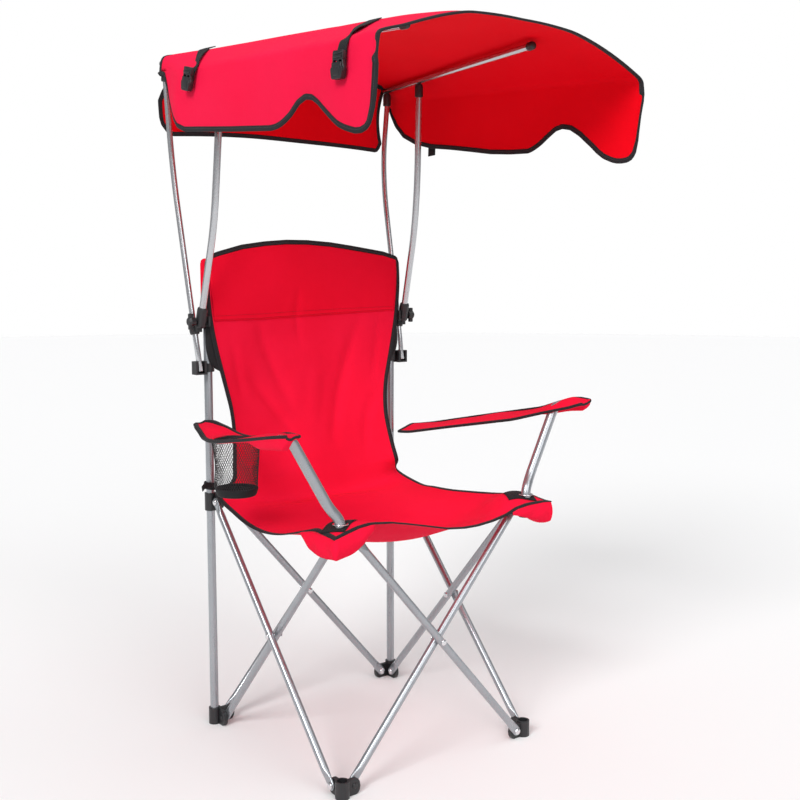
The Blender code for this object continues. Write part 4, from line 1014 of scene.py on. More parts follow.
yy = np.concatenate([np.linspace(-0.4150, -0.4060, 7)[:-1], np.linspace(-0.4060, -0.12, 64)[:-1], np.linspace(-0.12, 0.15, 34)[:-1], np.linspace(0.15, 0.2890, 36)])
down = np.linspace(0, 1, 24)
canopy = []
for y in yy:
    halves = []
    for s, (at, low_at) in ((-1, DROP_LEFT), (1, DROP_RIGHT)):
        k = min(1.0, max(0.0, (y - 0.15) / 0.139))
        edge_y = y if y <= 0.15 else 0.15 + (REAR_END_AT[s] - 0.15) * k
        # at the rear left corner the cover is drawn in against the rail's end
        tuck = min(1.0, max(0.0, (y - 0.17) / 0.09)) if s < 0 else 0.0
        tuck = tuck * tuck * (3 - 2 * tuck)
        cx = CANOPY_X - 0.0115 * tuck
        edge_z = cloth_z(s * CANOPY_X, min(y, 0.262)) + 0.0120 * tuck
        low = min(float(np.interp(edge_y, at, low_at)) - 0.0030, edge_z - 0.0125)
        # the bend from the side to the roof ends in the roof's own slope
        zr = cloth_z(s * (cx - 0.011), min(edge_y, 0.27))
        lean = (cloth_z(s * (cx - 0.018), min(edge_y, 0.27)) - zr) / 0.007
        za, zb = edge_z - 0.008, max(zr - lean * 0.011, edge_z - 0.007)
        part = []
        for f in down[:-1]:
            z = low + (edge_z - 0.008 - low) * f
            belly = 0.0030 * math.sin(math.pi * f) + 0.0022 * (1 - f) * math.sin(11.0 * y + (1.3 if s > 0 else 0.2))
            pull = 0.0012 * math.sin(38 * y + 2.0 * f) * math.sin(math.pi * f)
            part.append((s * (cx + belly + pull), edge_y, z))
        for k in range(1, 6):
            t = k / 6
            part.append((s * (cx - 0.011 * t * t), edge_y, za * (1 - t) ** 2 + zb * 2 * t * (1 - t) + zr * t * t))
        halves.append((part, edge_y, (cx - 0.011) / (CANOPY_X - 0.011)))
    xs = np.linspace(-(CANOPY_X - 0.011), CANOPY_X - 0.011, 97)
    roof = []
    for x in xs:
        g = abs(x / (CANOPY_X - 0.011)) ** 7
        ry = y * (1 - g) + halves[0 if x < 0 else 1][1] * g
        x = x * halves[0 if x < 0 else 1][2]
        roof.append((x, ry, cloth_z(x, min(ry, 0.27))))
    canopy.append(halves[0][0] + roof + halves[1][0][::-1])
canopy = np.array(canopy)
for _ in range(3):
    canopy[:, 31:-31, 2] = canopy[:, 31:-31, 2] * 0.5 + 0.25 * (canopy[:, 30:-32, 2] + canopy[:, 32:-30, 2])
nc = grid_normals(canopy)
if nc[60, canopy.shape[1] // 2, 2] < 0:
    nc = -nc
rp = ripple(canopy.shape[:2], (9, 14), 0.0011, 11) + ripple(canopy.shape[:2], (22, 34), 0.00045, 12)
m_, n_ = canopy.shape[:2]
calm = np.minimum(1, np.minimum(np.arange(m_), m_ - 1 - np.arange(m_)) / 8.0)[:, None] * np.minimum(1, np.minimum(np.arange(n_), n_ - 1 - np.arange(n_)) / 5.0)[None, :]
canopy = canopy + nc * (rp * calm)[..., None]
# the canopy's outer faces get the pinker red: painted highlight where the light falls
canopy_obj = add_piece("canopy_cloth", sheet_mesh("canopy_cloth", canopy, SOFT), RED_CANOPY_PAINTED_LIT, "canopy_truss_left", ["canopy_fabric"])
# the canopy's inner faces get the darker red: painted shade under the roof
canopy_obj.data.materials.append(RED_CANOPY_PAINTED_SHADE)
half_faces = (canopy.shape[0] - 1) * (canopy.shape[1] - 1)
inner_layer_painted_shade = half_faces if sheet_side(canopy) > 0 else 0
for k in range(half_faces):
    canopy_obj.data.polygons[inner_layer_painted_shade + k].material_index = 1
pts, nrm, inn = edge_frames(canopy)
tape_round("canopy_binding", pts, nrm, inn, "canopy_truss_left", width=0.0078, half=0.0018, lip=0.0014)

# rear flap
flap = []
for f in np.linspace(0, 1, 26):
    row = []
    for x in np.linspace(-0.2700, 0.2700, 90):
        a = abs(x) / 0.2700
        top = roof_z(x * 0.985, 0.262) - 0.0020
        low = 1.1420 + 0.0085 * (1 - a**2) - 0.004 * (x / 0.27) * (1 - a)
        if a > 0.93:
            low += 0.020 * ((a - 0.93) / 0.07) ** 2.2
        # the sides are drawn in a little half way up
        w = 1 - 0.030 * f * (1 - f) * 4 * a**6
        z = low + (top - low) * f
        y = 0.2865 + 0.0035 * math.sin(math.pi * min(1.0, 1 - f)) + 0.0022 * math.sin(23 * x + 0.6) * (1 - f)
        if x > 0:
            xx = x * w * (1 - 0.030 * (1 - f))
        else:
            xx = x / 0.2700 * float(np.interp(z, [1.138, 1.150, 1.162, 1.175, 1.207, 1.225, 1.240, 1.262], [0.2480, 0.2555, 0.2595, 0.2630, 0.2640, 0.2560, 0.2460, 0.2300]))
        row.append((xx, min(y, 0.2905), z))
    flap.append(row)
flap = np.array(flap)
# the rear flap gets the darker red all over: painted shade under the roof
flap_obj = add_piece("rear_flap_cloth", sheet_mesh("rear_flap", flap, SOFT), RED_CANOPY_PAINTED_SHADE, "canopy_truss_left", ["canopy_rear_flap"])
pts, nrm, inn = edge_frames(flap)
tape_round("rear_flap_binding", pts, nrm, inn, "canopy_truss_left", width=0.0078, half=0.0012)


# ---------------------------------------------------------------- armrests
def arm_top(y, left):
    if left:
        return float(np.interp(y, [-0.26, -0.20, -0.06, -0.03, 0.02, 0.10, 0.16, 0.19], [0.6440, 0.6400, 0.6160, 0.6080, 0.6000, 0.5900, 0.5960, 0.6010]))
    return float(np.interp(y, [-0.26, -0.23, -0.19, -0.13, 0.03, 0.15, 0.19], [0.6480, 0.6460, 0.6400, 0.6200, 0.5860, 0.5640, 0.5580]))


def arm_inner(y, left):
    if left:
        return float(np.interp(y, [-0.26, -0.20, -0.10, -0.04, 0.03, 0.09, 0.14, 0.19], [0.3110, 0.2830, 0.2420, 0.2190, 0.2130, 0.2160, 0.2270, 0.2290]))
    return float(np.interp(y, [-0.26, -0.20, -0.05, 0.10, 0.19], [0.3060, 0.2740, 0.2390, 0.2300, 0.2290]))


def arm_outer(y, left):
    if left:
        return float(np.interp(y, [-0.26, -0.20, -0.07, 0.0, 0.05, 0.108, 0.16, 0.19], [0.3320, 0.3345, 0.3280, 0.3190, 0.3070, 0.2860, 0.2720, 0.2560]))
    return float(np.interp(y, [-0.26, -0.20, -0.05, 0.10, 0.16, 0.19], [0.3400, 0.3370, 0.3160, 0.3030, 0.2960, 0.2760]))


def arm_edge_z(y, left):
    """Heights of the inner and the outer edge."""
    if left:
        zi = np.interp(y, [-0.245, -0.138, -0.03, 0.05, 0.09, 0.12, 0.161, 0.19], [0.6350, 0.6240, 0.6045, 0.5920, 0.5930, 0.6030, 0.6110, 0.6080])
        zo = np.interp(y, [-0.245, -0.20, -0.14, -0.07, 0.0, 0.06, 0.105, 0.125, 0.15, 0.19], [0.6370, 0.6310, 0.6210, 0.6100, 0.5990, 0.5930, 0.5905, 0.5960, 0.6020, 0.6040])
        return float(zi), float(zo)
    zi = np.interp(y, [-0.264, -0.250, -0.219, -0.13, 0.034, 0.154, 0.19], [0.6440, 0.6370, 0.6290, 0.6040, 0.5740, 0.5510, 0.5480])
    zo = np.interp(y, [-0.264, -0.229, -0.19, -0.144, -0.01, 0.15, 0.19], [0.6480, 0.6505, 0.6400, 0.6240, 0.5980, 0.5660, 0.5600])
    return float(zi), float(zo)


CUP_X, CUP_Y, CUP_R, CUP_TOP, CUP_LOW = 0.2620, 0.028, 0.043, 0.5900, 0.4920
FRONT_END, REAR_END = {True: -0.2370, False: -0.2640}, 0.1920


def soften(values, n=7):
    k = np.ones(n) / n
    return np.convolve(np.pad(values, n // 2, mode="edge"), k, mode="valid")


def arm_surface(x, y, left):
    """Height of the armrest's upper face; x is the distance from the chair's middle."""
    zi, zo = arm_edge_z(y, left)
    a, b = arm_inner(y, left), arm_outer(y, left)
    f = min(1.0, max(0.0, (x - a) / (b - a)))
    return zi + (zo - zi) * f + 0.0024 * (1 - (2 * f - 1) ** 2)


def armrest(side, s):
    ny_, nx_ = 120, 33
    left = s < 0
    first = FRONT_END[left]
    ys = np.linspace(first, REAR_END, ny_)
    zi = soften([arm_edge_z(y, left)[0] for y in ys], 7)
    zo = soften([arm_edge_z(y, left)[1] for y in ys], 7)
    ai, ao = soften([arm_inner(y, left) for y in ys], 9), soften([arm_outer(y, left) for y in ys], 9)
    top, low = [], []
    for i, y in enumerate(ys):
        a, b = ai[i], ao[i]
        end = min(1.0, (y - first) / 0.014)
        tail = min(1.0, (REAR_END - y) / 0.010)
        pinch = 0.66 + 0.34 * math.sqrt(max(0.0, 1 - (1 - end) ** 2))
        pinch *= 0.84 + 0.16 * math.sqrt(max(0.0, 1 - (1 - tail) ** 2))
        mid_ = (a + b) / 2
        a, b = mid_ + (a - mid_) * pinch, mid_ + (b - mid_) * pinch
        rt, rl = [], []
        sleeve = 1 / (1 + math.exp((y + (0.135 if left else 0.165)) / 0.009))
        closed = min(1.0, (y - first) / 0.010)
        for j in range(nx_):
            u = -1 + 2 * j / (nx_ - 1)
            x = (a + b) / 2 + (b - a) / 2 * u
            crown = 1 - u * u
            box = (1 - abs(u) ** 8) ** 0.5
            z = zi[i] + (zo[i] - zi[i]) * (u + 1) / 2 - 0.0012
            wav = (0.0012 * math.sin(31 * y + 2 * u + s) + 0.0009 * math.sin(57 * y - 3 * u)) * (1 - abs(u) ** 4)
            # the rear end sags a little between its two edges
            dip = -0.0050 * math.exp(-(((y - 0.155) / 0.030) ** 2)) * crown if left else 0.0
            lump = (0.0040 if not left else 0.0015) * math.exp(-(((y + 0.212) / 0.022) ** 2)) * box
            rt.append((s * x, y, z + 0.0024 * crown + wav + dip + lump))
            outer_half = 1 / (1 + math.exp(-(u + 0.02) / 0.07))
            depth = (0.0170 if left else 0.0125) * sleeve * (0.25 + 0.75 * closed) * outer_half
            depth += 0.0035 if y < 0.10 else 0.0035 * max(0.0, (REAR_END - y) / 0.092)
            rl.append((s * x, y, z - 0.0016 - depth * box + wav * 0.5 + dip))
        top.append(rt)
        low.append(rl)
    return np.array(top), np.array(low)


def two_layer_mesh(name, top, low):
    m, n = top.shape[:2]
    k = m * n
    idx = np.arange(k).reshape(m, n)
    q = np.stack([idx[:-1, :-1], idx[1:, :-1], idx[1:, 1:], idx[:-1, 1:]], -1).reshape(-1, 4)
    faces = q.tolist() + (q[:, ::-1] + k).tolist()
    ring_ = ring_of(m, n)
    for a, b in zip(ring_, ring_[1:] + ring_[:1]):
        faces.append([a, b, b + k, a + k])
    uv = cut_uv(top).reshape(-1, 2)
    uv2 = cut_uv(low).reshape(-1, 2)
    return fix_normals(mesh_from(name, np.concatenate([top.reshape(-1, 3), low.reshape(-1, 3)]), faces, np.concatenate([uv, uv2])))


def cut_hole(ob, x, y, z0, z1, r):
    bpy.ops.mesh.primitive_cylinder_add(vertices=64, radius=r, depth=z1 - z0, location=(x, y + Y0, (z0 + z1) / 2 - SINK))
    c = bpy.context.object
    md = ob.modifiers.new("hole", "BOOLEAN")
    md.operation, md.object, md.solver = "DIFFERENCE", c, "EXACT"
    dg = bpy.context.evaluated_depsgraph_get()
    me = bpy.data.meshes.new_from_object(ob.evaluated_get(dg), depsgraph=dg)
    ob.modifiers.clear()
    ob.data = me
    bpy.data.objects.remove(c, do_unlink=True)


armrests, arm_grids = {}, {}
for side, s in SIDES.items():
    top, low = armrest(side, s)
    arm_grids[side] = top
    me = two_layer_mesh(f"armrest_{side}", top, low)
    o = bpy.data.objects.new(f"armrest_{side}_cloth", me)
    scene.collection.objects.link(o)
    if s < 0:
        cut_hole(o, -CUP_X, CUP_Y, 0.55, 0.68, CUP_R - 0.0035)
    mesh = o.data
    bpy.data.objects.remove(o, do_unlink=True)
    armrests[side] = add_piece(f"armrest_{side}_cloth", mesh, RED, f"rear_{side}_corner", [f"armrest_{side}"], 60)
    middle = (top + low) / 2
    middle[:, 0], middle[:, -1] = (top[:, 0] + low[:, 0]) / 2, (top[:, -1] + low[:, -1]) / 2
    ring_ = ring_of(*middle.shape[:2])
    pts = middle.reshape(-1, 3)[ring_]
    centre = np.array([[s * (arm_inner(p[1], s < 0) + arm_outer(p[1], s < 0)) / 2, min(max(p[1], FRONT_END[s < 0] + 0.022), REAR_END - 0.018), p[2]] for p in pts])
    tape_round(f"armrest_{side}_binding", pts, np.tile([0, 0, 1.0], (len(pts), 1)), unit(centre - pts), f"rear_{side}_corner", width=0.0078, half=0.0026, lip=0.0014)

# rim of the cup opening and the net below it
circle = [(math.cos(t), math.sin(t)) for t in (2 * math.pi * k / 72 for k in range(72))]
rim = np.array([(-CUP_X + (CUP_R - 0.0035) * c, CUP_Y + (CUP_R - 0.0035) * q, arm_surface(CUP_X - CUP_R * c, CUP_Y + CUP_R * q, True) - 0.0032) for c, q in circle])
out_dir = np.array([(c, q, 0.0) for c, q in circle])
tape_round("cup_rim_binding", rim, np.tile([0, 0, 1.0], (72, 1)), out_dir, "rear_left_corner", width=0.0060, half=0.0030)

# net: a knitted diamond mesh with real holes
rows_n, around = 21, 56
vs = []
for i in range(rows_n + 1):
    f = i / rows_n
    for k0 in range(around):
        k = k0
        t0 = 2 * math.pi * k0 / around
        z = CUP_LOW + 0.009 + (arm_surface(CUP_X - CUP_R * math.cos(t0), CUP_Y + CUP_R * math.sin(t0), True) - 0.006 - CUP_LOW - 0.009) * f
        t = 2 * math.pi * (k + 0.5 * (i % 2)) / around
        r = CUP_R - 0.0045 + 0.0035 * f - 0.0020 * math.sin(math.pi * f) + 0.0012 * math.sin(3 * t + 5 * f)
        if f < 0.12:
            r -= 0.0055 * (1 - f / 0.12) ** 2
        vs.append((-CUP_X + r * math.cos(t), CUP_Y + r * math.sin(t), z))
edges = []
for i in range(rows_n):
    for k in range(around):
        a = i * around + k
        if i % 2 == 0:
            n1, n2 = (i + 1) * around + k, (i + 1) * around + (k - 1) % around
        else:
            n1, n2 = (i + 1) * around + k, (i + 1) * around + (k + 1) % around
        edges.append((a, n1))
        edges.append((a, n2))
vs = np.array(vs)


add_piece("cup_net", fix_normals(strands("cup_net", vs, edges, 0.00036)), NET, "rear_left_corner", ["cup_holder"], 30)
prof = [(0.0018, 0.0008), (0.0018, 0.0315), (0.0040, 0.0340), (0.0135, 0.0366), (0.0140, 0.0376), (0.0128, 0.0384), (0.0032, 0.0354), (0.0006, 0.0335), (0.0, 0.0320), (0.0, 0.0008)]
cup_base = turned_mesh("cup_base", (-CUP_X, CUP_Y, CUP_LOW + 0.0010), (-CUP_X, CUP_Y, 1), prof, 64)
add_piece("cup_base_cloth", cup_base, PATCH, "rear_left_corner", (), 40)
ringp = np.array([(-CUP_X + 0.0372 * c, CUP_Y + 0.0372 * q, CUP_LOW + 0.0140) for c, q in circle])
tape_round("cup_base_binding", ringp, np.tile([0, 0, 1.0], (72, 1)), out_dir * -1, "rear_left_corner", width=0.0032, half=0.0020)

# ---------------------------------------------------------------- steel heads over the end rivets
FAR = OFFSET + END_T + 0.0003


def end_head(name, at, axis, sign, body):
    at, axis = np.array(at, float), np.array(axis, float) * sign
    base = at + axis * FAR
    prof = [(0.0, 0.0060), (0.0004, 0.0064)] + [(0.0004 + 0.0030 * math.sin(t), max(0.0064 * math.cos(t), 0.0004)) for t in (math.pi / 2 * k / 7 for k in range(1, 8))]
    add_piece(name, turned_mesh(name, base, base + axis, prof, 28), RIVET, body, (), 40)


for side, s in SIDES.items():
    o_, i_ = (1, -1) if s < 0 else (-1, 1)
    end_head(f"rivet_rear_foot_{side}", (s * PIVOT_X, POST_Y, Z_FOOT), YAX, o_, f"rear_{side}_corner")
    end_head(f"rivet_slider_rear_{side}", (s * PIVOT_X, POST_Y, Z_TOP), YAX, i_, f"slider_{side}")
    end_head(f"rivet_front_foot_{side}", (s * PIVOT_X, FRONT_Y, Z_FOOT), YAX, 1 if s < 0 else -1, f"front_{side}_foot")
    end_head(f"rivet_bracket_front_{side}", (s * PIVOT_X, FRONT_Y, Z_TOP), YAX, -1 if s < 0 else 1, f"front_{side}_arm")
    end_head(f"rivet_rear_foot_side_{side}", (s * SIDE_X, PIVOT_YR, Z_FOOT), XAX, -s, f"rear_{side}_corner")
    end_head(f"rivet_slider_side_{side}", (s * SIDE_X, PIVOT_YR, Z_TOP), XAX, s, f"slider_{side}")
    end_head(f"rivet_front_foot_side_{side}", (s * SIDE_X, PIVOT_YF, Z_FOOT), XAX, s, f"front_{side}_foot")
    end_head(f"rivet_bracket_side_{side}", (s * SIDE_X, PIVOT_YF, Z_TOP), XAX, -s, f"front_{side}_arm")


# ---------------------------------------------------------------- corner pockets, patches and ties of the sling
def near_sling(x, y, rows=slice(0, 120)):
    """Height of the seat cloth at x, y."""
    p = sling[rows].reshape(-1, 3)
    d2 = (p[:, 0] - x) ** 2 + (p[:, 1] - y) ** 2
    w = np.exp(-d2 / (2 * 0.0035**2)) + 1e-12
    return float((w * p[:, 2]).sum() / w.sum())


def corner_pocket(side, s):
    if s < 0:
        cx, cy = 0.2415, -0.2455
        bottom_front = ([0.163, 0.177, 0.206, 0.2425], [0.4690, 0.4510, 0.4320, 0.4270])
    else:
        cx, cy = 0.2495, -0.2455
        bottom_front = ([0.150, 0.160, 0.175, 0.1932, 0.2194, 0.2406, 0.2526], [0.4500, 0.4470, 0.4430, 0.4380, 0.4300, 0.4240, 0.4250])
    bottom_side = ([-0.2465, -0.199, -0.158, -0.149, -0.143], [0.4275, 0.4230, 0.4350, 0.4520, 0.4560])
    r = 0.004
    plan = [(cx, y) for y in np.linspace(-0.143, cy + r, 26)]
    plan += [(cx - r * (1 - math.cos(t)), cy + r - r * math.sin(t)) for t in (math.pi / 2 * k / 5 for k in range(1, 5))]
    plan += [(x, cy) for x in np.linspace(cx - r, 0.163 if s < 0 else 0.152, 24)]
    lows = soften([float(np.interp(y, *bottom_side)) if y > cy + r * 0.5 else float(np.interp(x, *bottom_front)) for x, y in plan], 7)
    grid = []
    for q in range(17):
        row = []
        for (x, y), zb in zip(plan, lows):
            on_side = y > cy + r * 0.5
            if on_side:
                zt = np.interp(y, sling[:110, 0 if s < 0 else -1, 1], sling[:110, 0 if s < 0 else -1, 2]) + 0.0014
                out = np.array((1.0, 0.0))
            else:
                zt = np.interp(s * x, sling[0, :, 0], sling[0, :, 2]) + 0.0014
                out = np.array((0.0, -1.0))
            zt = float(zt) - 0.0022
            zb = min(float(zb), zt - 0.0012)
            deep = zt - zb
            f = min(1.0, q / 11)
            puffed = 0.0045 * math.sin(math.pi * f) * min(1.0, deep / 0.03)
            ridge = 0.0016 * math.exp(-((math.hypot(x - cx, y - cy) / 0.004) ** 2))
            pl = np.array((x, y)) + out * puffed
            mid_c = np.array((0.2115, -0.2175))
            z = zt + (zb - zt) * f
            if q > 11:
                k = (q - 11) / 5
                away = mid_c - pl
                pl = pl + away / max(1e-6, np.linalg.norm(away)) * (0.020 * k) * min(1.0, deep / 0.02)
                z = zb - 0.0032 * math.sin(math.pi * min(1.0, k * 0.9)) * min(1.0, deep / 0.02)
            wave = 0.0008 * math.sin(160 * (x + y) + 3 * f) * math.sin(math.pi * f)
            row.append((s * (pl[0] + ridge + wave), pl[1] - ridge + wave, z))
        grid.append(row)
    grid = np.array(grid)
    return add_piece(f"pocket_{side}_cloth", sheet_mesh(f"pocket_{side}", grid, 0.0014), RED, "front_left_arm"), grid


pockets = {side: corner_pocket(side, s) for side, s in SIDES.items()}


def ring_mesh(name, centre, big, r_across, r_up, lean=(0, 0), n=56, m=14):
    """Ring around a vertical tube; its section is an oval."""
    verts, faces = [], []
    for i in range(n):
        a = 2 * math.pi * i / n
        for j in range(m):
            b = 2 * math.pi * j / m
            q = big + r_across * math.cos(b)
            x, y = q * math.cos(a), q * math.sin(a)
            verts.append((centre[0] + x, centre[1] + y, centre[2] + r_up * math.sin(b) + lean[0] * x + lean[1] * y))
    for i in range(n):
        for j in range(m):
            i2, j2 = (i + 1) % n, (j + 1) % m
            faces.append([i * m + j, i2 * m + j, i2 * m + j2, i * m + j2])
    return fix_normals(mesh_from(name, verts, faces))


soft_more = {"front": [], "back": [], "canopy": []}
for side, s in SIDES.items():
    # square of black cloth around the tube, sewn on turned
    turn = math.radians(29.5)
    e1, e2 = np.array((math.cos(turn), math.sin(turn))), np.array((-math.sin(turn), math.cos(turn)))
    c = np.array((-0.2075, -0.2060))
    patch = []
    for v in np.linspace(-1, 1, 15):
        row = []
        for u in np.linspace(-1, 1, 17):
            x, y = c + e1 * 0.0265 * u + e2 * 0.0225 * v
            row.append((-s * x * -1 if s < 0 else -x, y, near_sling(x if s < 0 else -x, y) + 0.0024))
        patch.append(row)
    patch = np.array(patch)
    patch[..., 0] = s * np.abs(patch[..., 0])
    ob = add_piece(f"patch_{side}_cloth", sheet_mesh(f"patch_{side}", patch, 0.0012), PATCH, "front_left_arm")
    soft_more["front"].append(ob)
    zt = near_sling(s * 0.2115, -0.2175) + 0.0044
    ob = add_piece(f"eyelet_{side}", ring_mesh(f"eyelet_{side}", (s * 0.2116, -0.2174, zt), 0.0118, 0.0021, 0.0011), RIVET, f"front_{side}_arm")
    soft_more["front"].append(ob)
    edge_pts = patch.reshape(-1, 3)[ring_of(15, 17)]
    inset = edge_pts * 0.90 + patch.reshape(-1, 3).mean(0) * 0.10
    inset[:, 2] = [near_sling(p[0], p[1]) + 0.0032 for p in inset]
    ob = stitches(f"patch_{side}_stitches", [np.concatenate([inset, inset[:1]])], "front_left_arm", WEB, 0.0036, 0.0003, "black_webbing")
    soft_more["front"].append(ob)
    # webbing loop around the post above the slider, with its tail
    ob = add_piece(f"seat_tie_{side}_web", ring_mesh(f"seat_tie_{side}", (s * POST_X, POST_Y, 0.4800), 0.0108, 0.0019, 0.0070, (0.10 * s, 0.05)), WEB, f"slider_{side}")
    if s < 0:
        tail = [(-0.2170, 0.1880, 0.4800), (-0.2250, 0.1860, 0.4835), (-0.2350, 0.1840, 0.4850), (-0.2430, 0.1815, 0.4835), (-0.2490, 0.1780, 0.4800)]
        tail = np.array([[(x, y + 0.0015 * w, z + 0.0045 * w) for w in np.linspace(-1, 1, 7)] for x, y, z in tail])
        add_piece("seat_tie_left_tail", sheet_mesh("seat_tie_tail", tail, 0.0016), WEB, "slider_left")
    # gusset between the cloth's edge and the post
    gus = []
    for f in np.linspace(0, 1, 24):
        z = 0.700 + 0.105 * f
        xe = back_half(z) - 0.002
        reach_ = math.sin(math.pi * min(1.0, f * 1.02)) ** 0.6
        xt = xe + (0.2290 - xe) * reach_
        gus.append([(s * (xe + (xt - xe) * u), back_y(z) + 0.0030 + 0.0040 * u - 0.0030 * math.sin(math.pi * u), z) for u in np.linspace(0, 1, 9)])
    gus = np.array(gus)
    ob = add_piece(f"gusset_{side}_cloth", sheet_mesh(f"gusset_{side}", gus, 0.0012), PATCH, "rear_left_corner")
    soft_more["back"].append(ob)
    # pocket that sits on the post's top, behind the cloth
    prof = [(0.1100, 0.0008), (0.1096, 0.0050), (0.1070, 0.0084), (0.1010, 0.0098), (0.0, 0.0098), (-0.0004, 0.0105), (0.0, 0.0113), (0.1010, 0.0113), (0.1080, 0.0098), (0.1110, 0.0060), (0.1118, 0.0008)]
    pm = turned_mesh(f"top_pocket_{side}", (s * POST_X, POST_Y, 0.8000), (s * POST_X, POST_Y, 1.0), prof, 36)
    # the top pocket gets the darker red: painted shade of the doubled cloth
    ob = add_piece(f"top_pocket_{side}_cloth", pm, RED_DOUBLE_PAINTED_SHADE, f"rear_{side}_corner", (), 50)


# ---------------------------------------------------------------- straps and buckles on the cover's sides
def web_strap(name, pts, nrm, wide, body, replaces=(), thick=0.0016):
    pts, nrm = np.array(pts, float), unit(nrm)
    tan = unit(np.gradient(pts, axis=0))
    across = unit(np.cross(nrm, tan))
    grid = np.array([[p + c * wide * u + n * 0.0003 * (1 - u * u) for u in np.linspace(-0.5, 0.5, 11)] for p, c, n in zip(pts, across, nrm)])
    return add_piece(name, sheet_mesh(name, grid, thick), WEB, body, replaces)


def spline(points, n):
    p = np.array(points, float)
    s_ = np.concatenate([[0], np.cumsum(np.linalg.norm(np.diff(p, axis=0), axis=1))])
    t = np.linspace(0, s_[-1], n)
    q = np.stack([np.interp(t, s_, p[:, c]) for c in range(3)], -1)
    for _ in range(4):
        q[1:-1] = 0.5 * q[1:-1] + 0.25 * (q[2:] + q[:-2])
    return q


def block(bm_, outline, n0, n1, centre, ew, eh, en, soft=0.0009):
    """Moulded plate: an outline in (width, height), from n0 to n1 along the normal, with rounded edges."""
    k = len(outline)
    vs_ = [bm_.verts.new(centre + ew * (0.84 * w) + eh * h + en * n) for n in (n0, n1) for w, h in outline]
    fs = [bm_.faces.new(vs_[:k][::-1]), bm_.faces.new(vs_[k:])]
    for i in range(k):
        j = (i + 1) % k
        fs.append(bm_.faces.new((vs_[i], vs_[j], vs_[k + j], vs_[k + i])))
    bmesh.ops.recalc_face_normals(bm_, faces=fs)
    edges_ = list({e for f in fs for e in f.edges})
    bmesh.ops.bevel(bm_, geom=edges_, offset=soft, segments=3, profile=0.5, affect="EDGES", clamp_overlap=True)


def arc(cx, cy, r, a0, a1, n=6):
    return [(cx + r * math.cos(math.radians(a0 + (a1 - a0) * k / n)), cy + r * math.sin(math.radians(a0 + (a1 - a0) * k / n))) for k in range(n + 1)]


def buckle(name, centre, eh, en, body, replaces):
    """Side-release buckle: the socket half below, the half with two prongs and a ladder bar above."""
    eh, en = unit(eh), unit(en)
    en = unit(en - eh * (en @ eh))
    ew = np.cross(eh, en)
    c = np.array(centre, float) + HOME
    bm_ = bmesh.new()
    V3 = lambda a: Vector([float(q) for q in a])
    c, ew, eh, en = V3(c), V3(ew), V3(eh), V3(en)
    socket = arc(0.0105, -0.0150, 0.0045, -90, 0) + [(0.0168, -0.0080), (0.0172, -0.0045), (0.0138, -0.0020), (0.0134, 0.0040)]
    socket = socket + [(-w, h) for w, h in reversed(socket)]
    block(bm_, socket, 0.0006, 0.0098, c, ew, eh, en, 0.0014)
    block(bm_, [(-0.0075, -0.0150), (0.0075, -0.0150), (0.0095, -0.0020), (-0.0095, -0.0020)], 0.0090, 0.0106, c, ew, eh, en, 0.0007)
    bar = [(-0.0150, 0.0075), (0.0150, 0.0075), (0.0154, 0.0110), (0.0146, 0.0185)] + arc(0.0116, 0.0185, 0.0026, 0, 90, 4) + arc(-0.0116, 0.0185, 0.0026, 90, 180, 4) + [(-0.0146, 0.0185), (-0.0154, 0.0110)]
    block(bm_, bar, 0.0010, 0.0074, c, ew, eh, en, 0.0011)
    block(bm_, [(-0.0122, 0.0104), (0.0122, 0.0104), (0.0122, 0.0136), (-0.0122, 0.0136)], 0.0068, 0.0096, c, ew, eh, en, 0.0009)
    block(bm_, [(-0.0122, 0.0160), (0.0122, 0.0160), (0.0122, 0.0186), (-0.0122, 0.0186)], 0.0068, 0.0088, c, ew, eh, en, 0.0008)
    for sg in (-1, 1):
        prong = [(0.0120, 0.0078), (0.0146, 0.0078), (0.0160, 0.0010), (0.0184, -0.0030), (0.0184, -0.0065), (0.0166, -0.0095), (0.0140, -0.0060), (0.0134, 0.0000)]
        prong = [(sg * w, h) for w, h in (prong if sg > 0 else reversed(prong))]
        block(bm_, prong, 0.0022, 0.0078, c, ew, eh, en, 0.0008)
    block(bm_, [(-0.0028, 0.0030), (0.0028, 0.0030), (0.0028, 0.0080), (-0.0028, 0.0080)], 0.0024, 0.0076, c, ew, eh, en, 0.0006)
    me = bpy.data.meshes.new(name)
    bm_.to_mesh(me)
    bm_.free()
    return add_piece(name, me, BLACK, body, replaces, 40)


